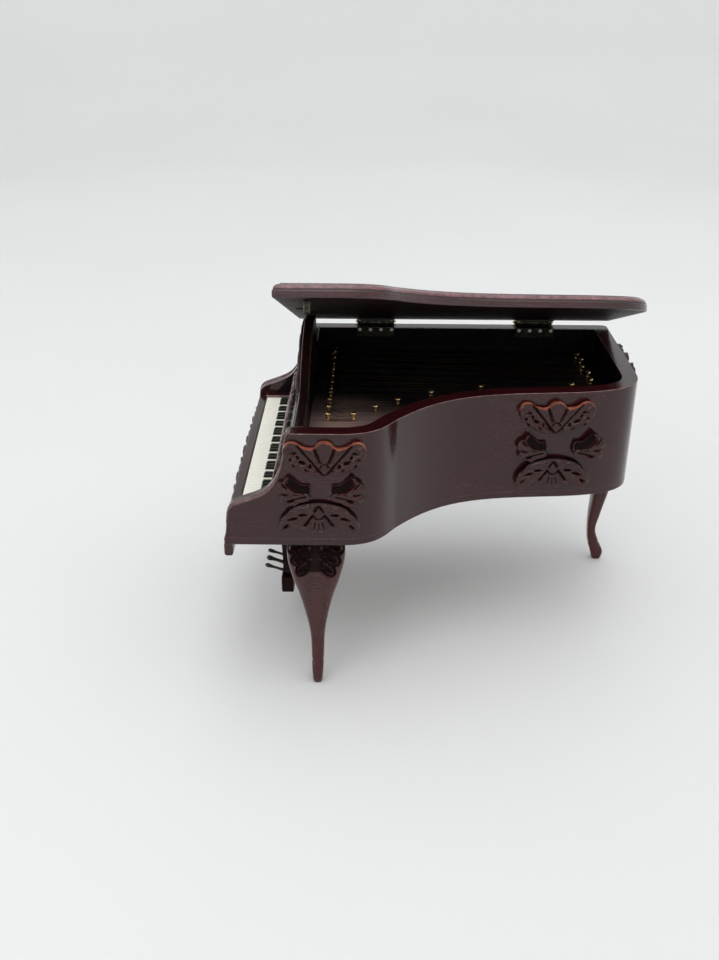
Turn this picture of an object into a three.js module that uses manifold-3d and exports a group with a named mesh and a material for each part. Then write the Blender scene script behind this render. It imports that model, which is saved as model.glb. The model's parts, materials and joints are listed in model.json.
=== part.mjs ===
// A miniature grand piano for a dolls house, about 1:12 scale.
//
// Units are millimetres and +Z is up. The keyboard faces -Y, the tail points to +Y, the curved
// treble side is at +X and the straight bass side, the spine, is at -X. The origin is on the floor
// under the middle of the piano's bounding box. Most places are given by two distances:
// "along", measured back from the front of the case, and "inset", measured in from the treble face.

import * as THREE from 'three';
import * as BufferGeometryUtils from 'three/addons/utils/BufferGeometryUtils.js';
import Module from 'manifold-3d';

const wasm = await Module();
wasm.setup();

// Case
const caseLength = 122.4;
const caseWidth = 95;
const wall = 4.7;
const rimTop = 85;
const boardBottom = 50.5;
const rimBottom = 52.6;
const cornerRadius = 2;
const boardLip = 0.4;
const armLength = 19;
const soundboardTop = 77;
const soundboardThickness = 2;
const soundboardFront = 22.7;
const snugGap = 0.05;
const turnedGap = 0.3;

// Keyboard and the boards round it
const keyTop = 60;
const keyBedTop = 55.6;
const keyFront = 3.8;
const keyBack = 19.4;
const whiteKeys = 43;
const whitePitch = 1.83;
const bassKeyInset = 87;
const grooveWidth = 0.14;
const grooveDepth = 0.25;
const blackKeyWidth = 1.2;
const blackKeyRise = 0.75;
const blackKeyFront = 8.5;
const blackKeyShift = 1.2;  // the black keys sit this far to the bass of the joints
const keyslipFront = 0.9;
const keyslipBack = 3.4;
const frontRail = { front: -0.6, back: 1.9, bottom: 46.7, radius: 0.9 };
const fallFoot = { along: 13.4, z: 62.1 };
const fallTop = { along: 19.4, z: 84.7 };
const fallLip = 1.4;

// Music desk
const deskFront = 19.6;
const deskThickness = 3;
// x where the crest starts on each side, where it is highest, and its high bass corner
const crest = { treble: 21, bass: -27, peak: { x: -7, z: 97.2 }, corner: { x: -22.3, z: 96.15 } };

// Lid and hinges: the barrel runs along the spine's outer top edge
const lidFront = 15;
const lidOverhang = 1;
const lidThickness = 4;
const lidStep = { inset: 1.3, rise: 1.4 };
const lidAngle = 21;
const barrel = { inset: 96, z: 85.55, radius: 1, bore: 0.5, pin: 0.45 };
const lidUnderside = 0.55;
const lidRearInset = 94.9;
const leaf = { length: 13, reach: 5.6, thickness: 0.35, drop: 3, knuckles: 5, gap: 0.12 };
const hingePlaces = [42, 97];
const lidCatch = { front: 22.6, back: 24.4, reach: 86.3, radius: 1.5, drop: 1.6 };
const roundSides = 16;

// Legs, cut from two sides like a real cabriole leg
const legHeight = 50.5;
const frontLegs = { along: 25.2, ankleInset: 7.2 };
const tailLeg = { ankleAlong: 121.8, inset: 79.5 };

// Pedal lyre
const lyre = { front: 11.7, thickness: 3.3, baseBottom: 8.5, baseTop: 14.8, baseHalf: 8 };
const pedal = { z: 15.8, length: 5.9, rise: 19, spacing: 4.8 };

// Strings and the nails that hold them
const stringHeights = { out: 78.6, back: 78.1 };
const wireRadius = 0.14;
const nail = { shank: 0.32, head: 0.95, neck: 79.1, top: 79.9 };
const tuningRow = { along: 28.1, firstInset: 27, pitch: 5.7 };
const hitchPlaces = [
  [35.7, 27.2], [42.1, 33], [48.9, 38.6], [59.2, 44.8], [75, 49.9], [103.7, 52.1],
  [110.5, 56.2], [110.8, 62.4], [109.8, 68], [110.7, 75.1], [110.1, 80],
];

// Applied carvings
const carvingDepth = 2;
const carvingOutlineSteps = 34;

const colours = {
  mahogany: 0x4a0f12,
  darkWood: 0x2a1411,
  ivory: 0xebe8d7,
  black: 0x1e2320,
  bronze: 0x5f6152,
  brass: 0xc9a650,
};

// ---- helpers ----

const trebleX = caseWidth / 2;
const frontY = -caseLength / 2;
const xAt = (inset) => trebleX - inset;
const yAt = (along) => frontY + along;
const plan = (along, inset) => new THREE.Vector2(xAt(inset), yAt(along));
const radians = THREE.MathUtils.degToRad;

const piano = new THREE.Group();

function addMesh(name, geometry, colour, parent = piano) {
  const metal = colour === colours.bronze || colour === colours.brass;
  const material = new THREE.MeshStandardMaterial({
    color: colour,
    roughness: metal ? 0.4 : 0.25,
    metalness: metal ? 1 : 0,
  });
  const mesh = new THREE.Mesh(geometry, material);
  mesh.name = name;
  parent.add(mesh);
  return mesh;
}

function toSolid(geometry) {
  const bare = geometry.index ? geometry.toNonIndexed() : geometry.clone();
  bare.deleteAttribute('normal');
  bare.deleteAttribute('uv');
  const merged = BufferGeometryUtils.mergeVertices(bare, 1e-5);
  const mesh = new wasm.Mesh({
    numProp: 3,
    vertProperties: new Float32Array(merged.attributes.position.array),
    triVerts: new Uint32Array(merged.index.array),
  });
  return new wasm.Manifold(mesh);
}

function toGeometry(solid) {
  const mesh = solid.getMesh();
  const geometry = new THREE.BufferGeometry();
  geometry.setAttribute('position', new THREE.BufferAttribute(mesh.vertProperties, 3));
  geometry.setIndex(new THREE.BufferAttribute(mesh.triVerts, 1));
  return geometry;
}

const join = (geometries) => toGeometry(geometries.map(toSolid).reduce((a, b) => a.add(b)));
const cut = (geometry, tool) => toGeometry(toSolid(geometry).subtract(toSolid(tool)));
const overlap = (a, b) => toGeometry(toSolid(a).intersect(toSolid(b)));

const extrude = (shape, depth, curveSegments = 12) => new THREE.ExtrudeGeometry(shape, {
  depth,
  bevelEnabled: false,
  curveSegments,
});

// A plan outline raised from one height to another
const slab = (shape, low, high) => extrude(shape, high - low).translate(0, 0, low);

// An outline drawn in (y, z), swept across the piano from one x to another
function acrossX(shape, low, high) {
  const turn = new THREE.Matrix4().makeBasis(
    new THREE.Vector3(0, 1, 0),
    new THREE.Vector3(0, 0, 1),
    new THREE.Vector3(1, 0, 0),
  );
  return extrude(shape, high - low).applyMatrix4(turn).translate(low, 0, 0);
}

// An outline drawn in (x, z), swept from a front y to a back y
const acrossY = (shape, front, back) => extrude(shape, back - front).rotateX(Math.PI / 2).translate(0, back, 0);

function block(x0, x1, y0, y1, z0, z1) {
  const box = new THREE.BoxGeometry(x1 - x0, y1 - y0, z1 - z0);
  return box.translate((x0 + x1) / 2, (y0 + y1) / 2, (z0 + z1) / 2);
}

const polygon = (pairs) => new THREE.Shape(pairs.map(([a, b]) => new THREE.Vector2(a, b)));

// A closed smooth outline through a few points
function smoothShape(points, steps) {
  const loop = new THREE.CatmullRomCurve3(
    points.map(([a, b]) => new THREE.Vector3(a, b, 0)),
    true,
  );
  return polygon(loop.getSpacedPoints(steps).slice(0, -1).map((p) => [p.x, p.y]));
}

// ---- case ----

// The side of the case from the front of the treble arm, round the bentside and the tail, and
// forward along the spine: straight, then an S of three Bezier curves, then straight again
function sidePath({ front = 0, back = caseWidth, corner = 0 } = {}) {
  const path = new THREE.Path();
  const to = (along, inset) => [xAt(inset), yAt(along)];
  path.moveTo(...to(front, 0));
  path.lineTo(...to(32.2, 0));
  path.bezierCurveTo(...to(43.7, 0), ...to(45.5, 7), ...to(48.5, 10.8));
  path.bezierCurveTo(...to(61.6, 27.4), ...to(72.9, 29.7), ...to(94.9, 31.1));
  path.bezierCurveTo(...to(113.4, 32.3), ...to(caseLength, 35.9), ...to(caseLength, 47.4));
  path.lineTo(...to(caseLength, back - corner));
  if (corner > 0) {
    path.quadraticCurveTo(...to(caseLength, back), ...to(caseLength - corner, back));
  } else {
    path.lineTo(...to(caseLength, back));
  }
  path.lineTo(...to(front, back));
  return path.getPoints(14);
}

// The same path moved inwards, with mitred corners
function insetPath(points, distance) {
  const normal = (a, b) => new THREE.Vector2(a.y - b.y, b.x - a.x).normalize();
  return points.map((point, i) => {
    const before = i > 0 ? normal(points[i - 1], point) : normal(point, points[i + 1]);
    const after = i < points.length - 1 ? normal(point, points[i + 1]) : before;
    const middle = before.clone().add(after).normalize();
    return point.clone().addScaledVector(middle, distance / middle.dot(after));
  });
}

// Everything above the swept arms, drawn in (y, z)
function armCutter() {
  const shape = new THREE.Shape();
  const at = (along, z) => [yAt(along), z];
  shape.moveTo(...at(-0.12, 51.6));
  shape.lineTo(...at(0.9, 60.9));
  shape.quadraticCurveTo(...at(1.2, 62.6), ...at(3.6, 63.4));
  shape.bezierCurveTo(...at(6.5, 64.6), ...at(9.6, 65.3), ...at(12.2, 67.4));
  shape.bezierCurveTo(...at(16, 71.2), ...at(17, 77.5), ...at(17.6, 84));
  shape.quadraticCurveTo(...at(17.7, rimTop), ...at(armLength, rimTop));
  shape.lineTo(...at(armLength, rimTop + 5));
  shape.lineTo(...at(-5, rimTop + 5));
  shape.lineTo(...at(-5, 51.6));
  return acrossX(shape, -caseWidth, caseWidth);
}

function makeCase() {
  const outer = sidePath({ corner: cornerRadius });
  const inner = insetPath(sidePath(), wall);
  const ring = new THREE.Shape([...outer, ...inner.reverse()]);
  addMesh('rim_case', cut(slab(ring, rimBottom, rimTop), armCutter()), colours.mahogany);

  const board = new THREE.Shape([plan(-boardLip, 0), ...outer, plan(-boardLip, caseWidth)]);
  addMesh('bottom_board', slab(board, boardBottom, rimBottom), colours.mahogany);

  const well = insetPath(sidePath({ front: soundboardFront }), wall + snugGap);
  const floor = slab(new THREE.Shape(well), soundboardTop - soundboardThickness, soundboardTop);
  addMesh('soundboard', floor, colours.darkWood);
}

// ---- keyboard ----

const bassWellX = xAt(caseWidth - wall - snugGap);
const trebleWellX = xAt(wall + snugGap);
const trebleKeyInset = bassKeyInset - whiteKeys * whitePitch;

// Black keys stand on five of every seven joints between white keys, in threes and twos
const isBlack = (joint) => [2, 3, 4, 6, 0].includes(joint % 7);
const jointX = (joint) => xAt(bassKeyInset - joint * whitePitch);

function whiteKeyShape() {
  const top = [];
  for (let joint = 1; joint < whiteKeys; joint += 1) {
    const x = jointX(joint);
    top.push([x - grooveWidth / 2, keyTop], [x, keyTop - grooveDepth], [x + grooveWidth / 2, keyTop]);
  }
  const left = xAt(bassKeyInset);
  const right = xAt(trebleKeyInset);
  return polygon([[right, keyBedTop], [right, keyTop], ...top.reverse(), [left, keyTop], [left, keyBedTop]]);
}

function blackKeyComb() {
  const barFront = 17;
  const bar = block(
    jointX(1), jointX(whiteKeys - 1), yAt(barFront), yAt(keyBack), keyTop, keyTop + blackKeyRise,
  );
  const keys = [bar];
  for (let joint = 1; joint < whiteKeys; joint += 1) {
    if (isBlack(joint)) {
      const x = jointX(joint);
      const profile = polygon([
        [yAt(blackKeyFront), keyTop], [yAt(barFront + 0.5), keyTop],
        [yAt(barFront + 0.5), keyTop + blackKeyRise], [yAt(blackKeyFront + 0.5), keyTop + blackKeyRise],
      ]);
      const middle = x - blackKeyShift;
      keys.push(acrossX(profile, middle - blackKeyWidth / 2, middle + blackKeyWidth / 2));
    }
  }
  return join(keys);
}

function makeKeyboard() {
  const bed = block(bassWellX, trebleWellX, yAt(keyslipBack), yAt(deskFront + deskThickness), rimBottom, keyBedTop);
  addMesh('key_bed', bed, colours.darkWood);
  addMesh('keyslip', block(bassWellX, trebleWellX, yAt(keyslipFront), yAt(keyslipBack), rimBottom, keyTop),
    colours.mahogany);
  const keys = acrossY(whiteKeyShape(), yAt(keyFront), yAt(keyBack));
  addMesh('white_keys', keys, colours.ivory);
  addMesh('black_keys', blackKeyComb(), colours.black);
  const cheek = (x0, x1) => block(x0, x1, yAt(keyslipBack), yAt(keyBack), keyBedTop, keyTop + 0.6);
  addMesh('key_block_bass', cheek(bassWellX, xAt(bassKeyInset) - snugGap), colours.mahogany);
  addMesh('key_block_treble', cheek(xAt(trebleKeyInset) + snugGap, trebleWellX), colours.mahogany);

  const { front, back, bottom, radius } = frontRail;
  const rail = new THREE.Shape();
  rail.moveTo(yAt(front), boardBottom);
  rail.lineTo(yAt(front), bottom + radius);
  rail.quadraticCurveTo(yAt(front), bottom, yAt(front) + radius, bottom);
  rail.lineTo(yAt(back) - radius, bottom);
  rail.quadraticCurveTo(yAt(back), bottom, yAt(back), bottom + radius);
  rail.lineTo(yAt(back), boardBottom);
  addMesh('front_rail', acrossX(rail, -trebleX, trebleX), colours.mahogany);
}

// ---- fall panel, music desk and their carvings ----

// A long leafy strip: a row of lobes either side of a taller middle, drawn in (x, z)
function stripOutline(half, low, high, lobes) {
  const points = [];
  const steps = lobes * 6;
  for (let i = 0; i <= steps; i += 1) {
    const share = i / steps;
    const swell = Math.abs(Math.sin(Math.PI * lobes * share));
    const crown = 0.7 + 0.3 * Math.cos(Math.PI * (share - 0.5));
    points.push([half - 2 * half * share, low + (high - low) * crown * (0.72 + 0.28 * swell)]);
  }
  return polygon([[-half, low], [half, low], ...points]);
}

function makeFrontCarvings() {
  const strip = acrossY(stripOutline(40, 53.6, 59.4, 9), yAt(keyslipFront - 1.2), yAt(keyslipFront));
  addMesh('keyslip_carving', strip, colours.mahogany);

  const lean = Math.atan2(fallTop.along - fallFoot.along, fallTop.z - fallFoot.z - fallLip);
  const slope = new THREE.Group();
  slope.position.set(0, yAt(fallFoot.along), fallFoot.z + fallLip);
  slope.rotation.x = -lean;
  piano.add(slope);
  const band = acrossY(stripOutline(38, 0.6, 11.5, 11), -turnedGap - 1.2, -turnedGap);
  addMesh('fall_carving', band, colours.mahogany, slope);
}

function makeFallPanel() {
  const section = polygon([
    [yAt(fallFoot.along), fallFoot.z], [yAt(fallTop.along), fallFoot.z],
    [yAt(fallTop.along), fallTop.z], [yAt(fallFoot.along), fallFoot.z + fallLip],
  ]);
  addMesh('fall_panel', acrossX(section, bassWellX, trebleWellX), colours.mahogany);
}

// The crest slopes gently down to the treble side. On the bass side it keeps a high corner,
// which the open lid rests on
function makeMusicDesk() {
  const { treble, bass, peak, corner } = crest;
  const desk = new THREE.Shape();
  desk.moveTo(bassWellX, keyBedTop);
  desk.lineTo(trebleWellX, keyBedTop);
  desk.lineTo(trebleWellX, rimTop);
  desk.lineTo(treble, rimTop);
  desk.bezierCurveTo(treble - 6, rimTop + 1.5, peak.x + 15, peak.z - 2.2, peak.x, peak.z);
  desk.bezierCurveTo(peak.x - 6, peak.z + 0.8, corner.x + 4.3, corner.z + 1, corner.x, corner.z);
  desk.bezierCurveTo(corner.x - 0.4, 90, bass + 1, 90, bass, rimTop);
  desk.lineTo(bassWellX, rimTop);
  const front = yAt(deskFront);
  addMesh('music_desk', acrossY(desk, front, front + deskThickness), colours.mahogany);
}

// ---- lid and hinges ----

function lidGeometry() {
  const path = sidePath({ front: lidFront, back: lidRearInset - lidOverhang });
  const outline = insetPath(path, -lidOverhang);
  const step = insetPath(outline, lidStep.inset);
  for (const end of [0, step.length - 1]) {
    step[end].y += lidStep.inset;
  }
  const low = barrel.z + lidUnderside;
  const ledge = low + lidThickness - lidStep.rise;
  return join([
    slab(new THREE.Shape(outline), low, ledge),
    slab(new THREE.Shape(step), ledge - 0.5, low + lidThickness),
  ]);
}

// A ring of one knuckle round the barrel's axis, from one y to another
function knuckle(from, to) {
  const profile = [
    new THREE.Vector2(barrel.bore, 0), new THREE.Vector2(barrel.radius, 0),
    new THREE.Vector2(barrel.radius, to - from), new THREE.Vector2(barrel.bore, to - from),
    new THREE.Vector2(barrel.bore, 0),
  ];
  return new THREE.LatheGeometry(profile, roundSides).translate(0, from, 0);
}

// One leaf, drawn round the axis: the plate reaches out towards +X between two heights, and every
// other knuckle is its own, starting with the first or the second
function leafGeometry(first, reach, low, high) {
  const pitch = leaf.length / leaf.knuckles;
  const start = -leaf.length / 2;
  const clear = barrel.radius + leaf.gap;
  const pieces = [block(clear, reach, start, -start, low, high)];
  for (let i = first; i < leaf.knuckles; i += 2) {
    const from = start + i * pitch + leaf.gap / 2;
    const to = from + pitch - leaf.gap;
    pieces.push(knuckle(from, to), block(barrel.bore + 0.2, clear + 0.2, from, to, low, high));
  }
  return pieces;
}

function makeLid() {
  const swing = new THREE.Group();
  swing.position.set(xAt(barrel.inset), 0, barrel.z);
  swing.rotation.y = -radians(lidAngle);
  piano.add(swing);
  addMesh('lid', lidGeometry().translate(-xAt(barrel.inset), 0, -barrel.z), colours.mahogany, swing);

  // The catch hangs under the lid near its front treble corner
  const hang = new THREE.Shape();
  const top = lidUnderside - snugGap;
  const { front, back, reach, radius, drop } = lidCatch;
  hang.moveTo(reach, top);
  hang.lineTo(reach, -drop);
  hang.absarc(reach + radius, -drop, radius, Math.PI, 2 * Math.PI, false);
  hang.lineTo(reach + 2 * radius, top);
  addMesh('lid_catch', acrossY(hang, yAt(front), yAt(back)), colours.bronze, swing);

  hingePlaces.forEach((along, i) => {
    const name = i === 0 ? 'front_hinge' : 'rear_hinge';
    const underLid = lidUnderside - snugGap;
    const lidLeaf = leafGeometry(1, leaf.reach, underLid - leaf.thickness, underLid);
    addMesh(`${name}_lid_leaf`, join(lidLeaf).translate(0, yAt(along), 0), colours.bronze, swing);

    const low = rimTop - barrel.z;
    const lipX = barrel.inset - caseWidth + wall + snugGap;
    const lipEnd = lipX + leaf.thickness;
    const high = low + leaf.thickness;
    const lip = block(lipX, lipEnd, -leaf.length / 2, leaf.length / 2, low - leaf.drop, high);
    const caseLeaf = join([...leafGeometry(0, lipEnd, low, high), lip]);
    caseLeaf.translate(xAt(barrel.inset), yAt(along), barrel.z);
    addMesh(`${name}_case_leaf`, caseLeaf, colours.bronze);

    const pin = new THREE.CylinderGeometry(barrel.pin, barrel.pin, leaf.length + 0.8, roundSides);
    pin.translate(xAt(barrel.inset), yAt(along), barrel.z);
    addMesh(`${name}_pin`, pin, colours.brass);
  });
}

// ---- legs ----

// Half widths seen from the front, and the two outlines seen from the side, by height
const legHalfWidths = [[1.4, 0], [1.8, 6], [1.95, 12], [2.4, 18], [3.4, 24], [5, 31], [7.2, 38], [8.4, 43], [8.2, 50.5]];
const legFront = [[4.6, 0], [5.1, 3], [3.4, 7], [1.6, 12], [2.5, 19], [4.4, 30], [5.5, 38], [4.7, 45], [2.4, 50.5]];
const legBack = [[-5, 50.5], [-4.2, 43], [-2.4, 36], [-1.4, 28], [-1.5, 14], [-0.7, 7], [0.6, 3], [1.4, 0]];

function smoothLine(pairs, steps) {
  const curve = new THREE.SplineCurve(pairs.map(([a, b]) => new THREE.Vector2(a, b)));
  return curve.getPoints(steps).map((p) => [p.x, THREE.MathUtils.clamp(p.y, 0, legHeight)]);
}

// The leg faces +X, with its ankle on the Z axis
function legGeometry() {
  const right = smoothLine(legHalfWidths, 18);
  const left = right.map(([half, z]) => [-half, z]).reverse();
  const frontView = acrossX(polygon([...right, ...left]), -10, 10);
  const sideView = acrossY(polygon([...smoothLine(legFront, 18), ...smoothLine(legBack, 18)]), -12, 12);
  return overlap(frontView, sideView);
}

function makeLegs() {
  const places = [
    ['leg_treble', xAt(frontLegs.ankleInset), yAt(frontLegs.along), 0],
    ['leg_bass', -xAt(frontLegs.ankleInset), yAt(frontLegs.along), 180],
    ['leg_tail', xAt(tailLeg.inset), yAt(tailLeg.ankleAlong), 90],
  ];
  for (const [name, x, y, turn] of places) {
    const leg = addMesh(name, legGeometry(), colours.mahogany);
    leg.position.set(x, y, 0);
    leg.rotation.z = radians(turn);
  }
}

// ---- pedal lyre ----

function lyreShape() {
  const { baseTop } = lyre;
  const arms = new THREE.Shape();
  arms.moveTo(-5.4, baseTop);
  arms.lineTo(5.4, baseTop);
  arms.bezierCurveTo(3.2, 18, 4.4, 21, 6.6, 26);
  arms.bezierCurveTo(9.4, 33, 7, 40, 6.4, 44);
  arms.bezierCurveTo(6.2, 46, 6.8, 48, 8, boardBottom);
  arms.lineTo(-8, boardBottom);
  arms.bezierCurveTo(-6.8, 48, -6.2, 46, -6.4, 44);
  arms.bezierCurveTo(-7, 40, -9.4, 33, -6.6, 26);
  arms.bezierCurveTo(-4.4, 21, -3.2, 18, -5.4, baseTop);
  const opening = new THREE.Path();
  opening.moveTo(0, 24);
  opening.bezierCurveTo(-5.5, 30, -5.5, 36, -3.4, 45);
  opening.lineTo(3.4, 45);
  opening.bezierCurveTo(5.5, 36, 5.5, 30, 0, 24);
  arms.holes.push(opening);
  return arms;
}

// A round bar that thins behind a rounded toe, standing on its root
function pedalGeometry(scale) {
  const profile = [[0, 0], [0.5, 0], [0.42, 2.4], [0.62, 4.2], [0.72, 5], [0.5, 5.7], [0, pedal.length]];
  return new THREE.LatheGeometry(profile.map(([r, h]) => new THREE.Vector2(r * scale, h)), 12);
}

function makeLyre() {
  const { front, thickness, baseBottom, baseTop, baseHalf } = lyre;
  addMesh('lyre_board', acrossY(lyreShape(), yAt(front), yAt(front + thickness)), colours.mahogany);

  const base = new THREE.Shape();
  base.moveTo(-baseHalf, baseTop);
  base.lineTo(-baseHalf, baseBottom + 1.5);
  base.quadraticCurveTo(-baseHalf, baseBottom, 1.5 - baseHalf, baseBottom);
  base.lineTo(baseHalf - 1.5, baseBottom);
  base.quadraticCurveTo(baseHalf, baseBottom, baseHalf, baseBottom + 1.5);
  base.lineTo(baseHalf, baseTop);
  addMesh('lyre_base', acrossY(base, yAt(front - 0.4), yAt(front + thickness + 0.3)), colours.mahogany);

  ['pedal_left', 'pedal_middle', 'pedal_right'].forEach((name, i) => {
    const mesh = addMesh(name, pedalGeometry(i === 1 ? 1.25 : 1), colours.bronze);
    mesh.position.set((i - 1) * pedal.spacing, yAt(front) - turnedGap, pedal.z);
    mesh.rotation.x = radians(180 - pedal.rise);
  });
}

// ---- strings ----

function nailGeometry([along, inset]) {
  const { shank, head, neck, top } = nail;
  const profile = [
    [0, soundboardTop], [shank, soundboardTop], [shank, neck], [head, neck + 0.15],
    [head * 0.75, top - 0.15], [0, top],
  ];
  const points = profile.map(([r, z]) => new THREE.Vector2(r, z));
  return new THREE.LatheGeometry(points, 8).rotateX(Math.PI / 2).translate(xAt(inset), yAt(along), 0);
}

function stringGeometry([along0, inset0], [along1, inset1], height) {
  const start = new THREE.Vector3(xAt(inset0), yAt(along0), height);
  const end = new THREE.Vector3(xAt(inset1), yAt(along1), height);
  const line = end.clone().sub(start);
  const rod = new THREE.CylinderGeometry(wireRadius, wireRadius, line.length(), 5);
  const turn = new THREE.Quaternion().setFromUnitVectors(new THREE.Vector3(0, 1, 0), line.normalize());
  return rod.applyQuaternion(turn).translate(...start.add(end).multiplyScalar(0.5).toArray());
}

// One wire runs to and fro between the row of tuning nails and the hitch nails
function makeStrings() {
  const tuning = hitchPlaces.map((_, i) => [tuningRow.along, tuningRow.firstInset + i * tuningRow.pitch]);
  const pieces = [];
  hitchPlaces.forEach((hitch, i) => {
    pieces.push(nailGeometry(tuning[i]), nailGeometry(hitch));
    pieces.push(stringGeometry(tuning[i], hitch, stringHeights.out));
    if (i + 1 < tuning.length) {
      pieces.push(stringGeometry(hitch, tuning[i + 1], stringHeights.back));
    }
  });
  addMesh('strings_and_nails', join(pieces), colours.brass);
}

// ---- applied carvings ----

// Half of the fan seen from the front, from its point at the bottom round to its middle lobe
const fanHalf = [[3.8, 0.5], [7, 1.6], [9.3, 3.5], [10.9, 5.6], [11.4, 8], [10, 9.9], [8, 9.9], [6, 8.6], [3.2, 8.3], [1.8, 9.7]];
const fanHeight = 10.3;

function fanShape() {
  const left = fanHalf.map(([x, z]) => [-x, z]).reverse();
  return smoothShape([[0, 0], ...fanHalf, [0, fanHeight], ...left], carvingOutlineSteps);
}

// A curled leaf that opens away from its narrow root
function leafShape(side) {
  const points = [[0, 2.2], [2.6, 2.8], [5.4, 5.2], [7.6, 4.6], [9.2, 1.4], [8.6, -2.4], [6.4, -5], [3.4, -3.8], [0, -2.2]];
  return smoothShape(points.map(([x, z]) => [x * side, z]), 22);
}

// Four pieces set like a butterfly: fans above and below, leaves at the sides. The group stands
// at its middle, on a surface that faces -Y before the group is turned. They were glued on by eye,
// so in some groups the top fan or the right leaf sits a little to one side
function addCarvingGroup(prefix, x, y, z, turn, { fanShift = 0, leafShift = 0 } = {}) {
  const group = new THREE.Group();
  group.position.set(x, y, z);
  group.rotation.z = turn;
  piano.add(group);
  const place = (name, shape, turnOver, dx, dz) => {
    const piece = acrossY(shape, -carvingDepth, 0);
    if (turnOver) {
      piece.rotateY(Math.PI);
    }
    const rest = Math.abs(Math.sin(2 * turn)) > 1e-6 ? turnedGap : snugGap;
    piece.translate(dx, -rest, dz);
    addMesh(`${prefix}_${name}`, piece, colours.mahogany, group);
  };
  place('fan_top', fanShape(), false, fanShift, 4.4);
  place('fan_bottom', fanShape(), true, -1, -3.6);
  place('leaf_right', leafShape(1), false, 2.6 + leafShift, -0.4);
  place('leaf_left', leafShape(-1), false, -3.4, -0.4);
}

function makeCarvings() {
  const faceTreble = Math.PI / 2;
  const faceBass = -Math.PI / 2;
  const bentsideSlope = 0.06;
  addCarvingGroup('treble_front', trebleX, yAt(27.6), 68.4, faceTreble, { fanShift: 0.8 });
  addCarvingGroup('treble_rear', xAt(31), yAt(97), 68, faceTreble + bentsideSlope, {
    fanShift: -1.2,
    leafShift: 2.4,
  });
  addCarvingGroup('bass_front', -trebleX, yAt(27.6), 68.4, faceBass);
  addCarvingGroup('bass_rear', -trebleX, yAt(97), 68, faceBass);
  addCarvingGroup('tail', xAt(67), yAt(caseLength), 70.2, Math.PI);
}

makeCase();
makeKeyboard();
makeFrontCarvings();
makeFallPanel();
makeMusicDesk();
makeLid();
makeLegs();
makeLyre();
makeStrings();
makeCarvings();

// Bring the middle of the bounding box over the origin
piano.updateMatrixWorld(true);
const middle = new THREE.Box3().setFromObject(piano, true).getCenter(new THREE.Vector3());
piano.position.set(-middle.x, -middle.y, 0);

export default piano;
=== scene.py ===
"""Looks of a miniature grand piano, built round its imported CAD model.

Distances in the tables below are in millimetres. "along" is measured back from the front of the
case, "inset" in from the treble face, and z up from the floor. Blender objects are in metres.
"""

import json
import math

import bmesh
import bpy
import numpy as np
from mathutils import Matrix, Vector, noise


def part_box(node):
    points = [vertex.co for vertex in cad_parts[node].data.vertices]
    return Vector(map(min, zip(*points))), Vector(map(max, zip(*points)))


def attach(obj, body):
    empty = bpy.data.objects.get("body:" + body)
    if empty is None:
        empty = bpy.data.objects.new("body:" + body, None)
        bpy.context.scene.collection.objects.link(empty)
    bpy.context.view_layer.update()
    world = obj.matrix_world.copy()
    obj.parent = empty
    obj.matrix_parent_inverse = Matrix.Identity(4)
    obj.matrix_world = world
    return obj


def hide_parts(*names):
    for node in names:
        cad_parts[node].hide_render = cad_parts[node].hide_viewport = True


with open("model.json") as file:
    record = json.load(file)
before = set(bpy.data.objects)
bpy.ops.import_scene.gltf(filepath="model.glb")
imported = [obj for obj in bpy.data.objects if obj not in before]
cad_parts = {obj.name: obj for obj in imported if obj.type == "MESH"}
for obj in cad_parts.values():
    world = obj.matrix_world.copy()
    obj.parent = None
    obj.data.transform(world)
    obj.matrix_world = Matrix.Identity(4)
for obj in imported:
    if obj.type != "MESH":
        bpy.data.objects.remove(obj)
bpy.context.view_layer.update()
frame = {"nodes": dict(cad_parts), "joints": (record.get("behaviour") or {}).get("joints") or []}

MM = 0.001
FROM_MM = Matrix.Scale(MM, 4)
RIM_LOW, RIM_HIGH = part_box("rim_case")
TREBLE_X, FRONT_Y = RIM_HIGH[0], RIM_LOW[1]
LID_HINGE = Vector(frame["joints"][0]["pos_m"])
LID_TILT = math.radians(21)

# Camera, from the fitted view of the photograph
VIEW_FROM = (41.51, -250.86, 197.91)
VIEW_PITCH, VIEW_YAW, VIEW_ROLL = 26.766, -0.835, 0.182
VIEW_FOCAL_PX, PICTURE_HEIGHT_PX = 1025.71, 960
SENSOR_MM = 36


def at(along, inset, z):
    return Vector((TREBLE_X - inset * MM, FRONT_Y + along * MM, z * MM))


# ---- mesh helpers: a solid is an array of points and a list of faces ----

def join(solids):
    points, faces, count = [], [], 0
    for p, f in solids:
        points.append(np.asarray(p, float))
        faces += [tuple(i + count for i in face) for face in f]
        count += len(p)
    return np.vstack(points), faces


def moved(solid, matrix):
    points, faces = solid
    m = np.array(matrix)
    return points @ m[:3, :3].T + m[:3, 3], faces


def grid_faces(rows, columns, closed=False):
    """Faces of a grid of points, row by row; closed joins each row's end to its start."""
    faces = []
    for r in range(rows - 1):
        for c in range(columns if closed else columns - 1):
            d = (c + 1) % columns
            faces.append((r * columns + c, r * columns + d, (r + 1) * columns + d, (r + 1) * columns + c))
    return faces


def capped(rings):
    """A closed solid through a stack of rings with the same number of points."""
    rings = np.asarray(rings, float)
    rows, columns = rings.shape[:2]
    faces = grid_faces(rows, columns, closed=True)
    faces.append(tuple(range(columns)))
    faces.append(tuple((rows - 1) * columns + c for c in range(columns)))
    return rings.reshape(-1, 3), faces


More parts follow.
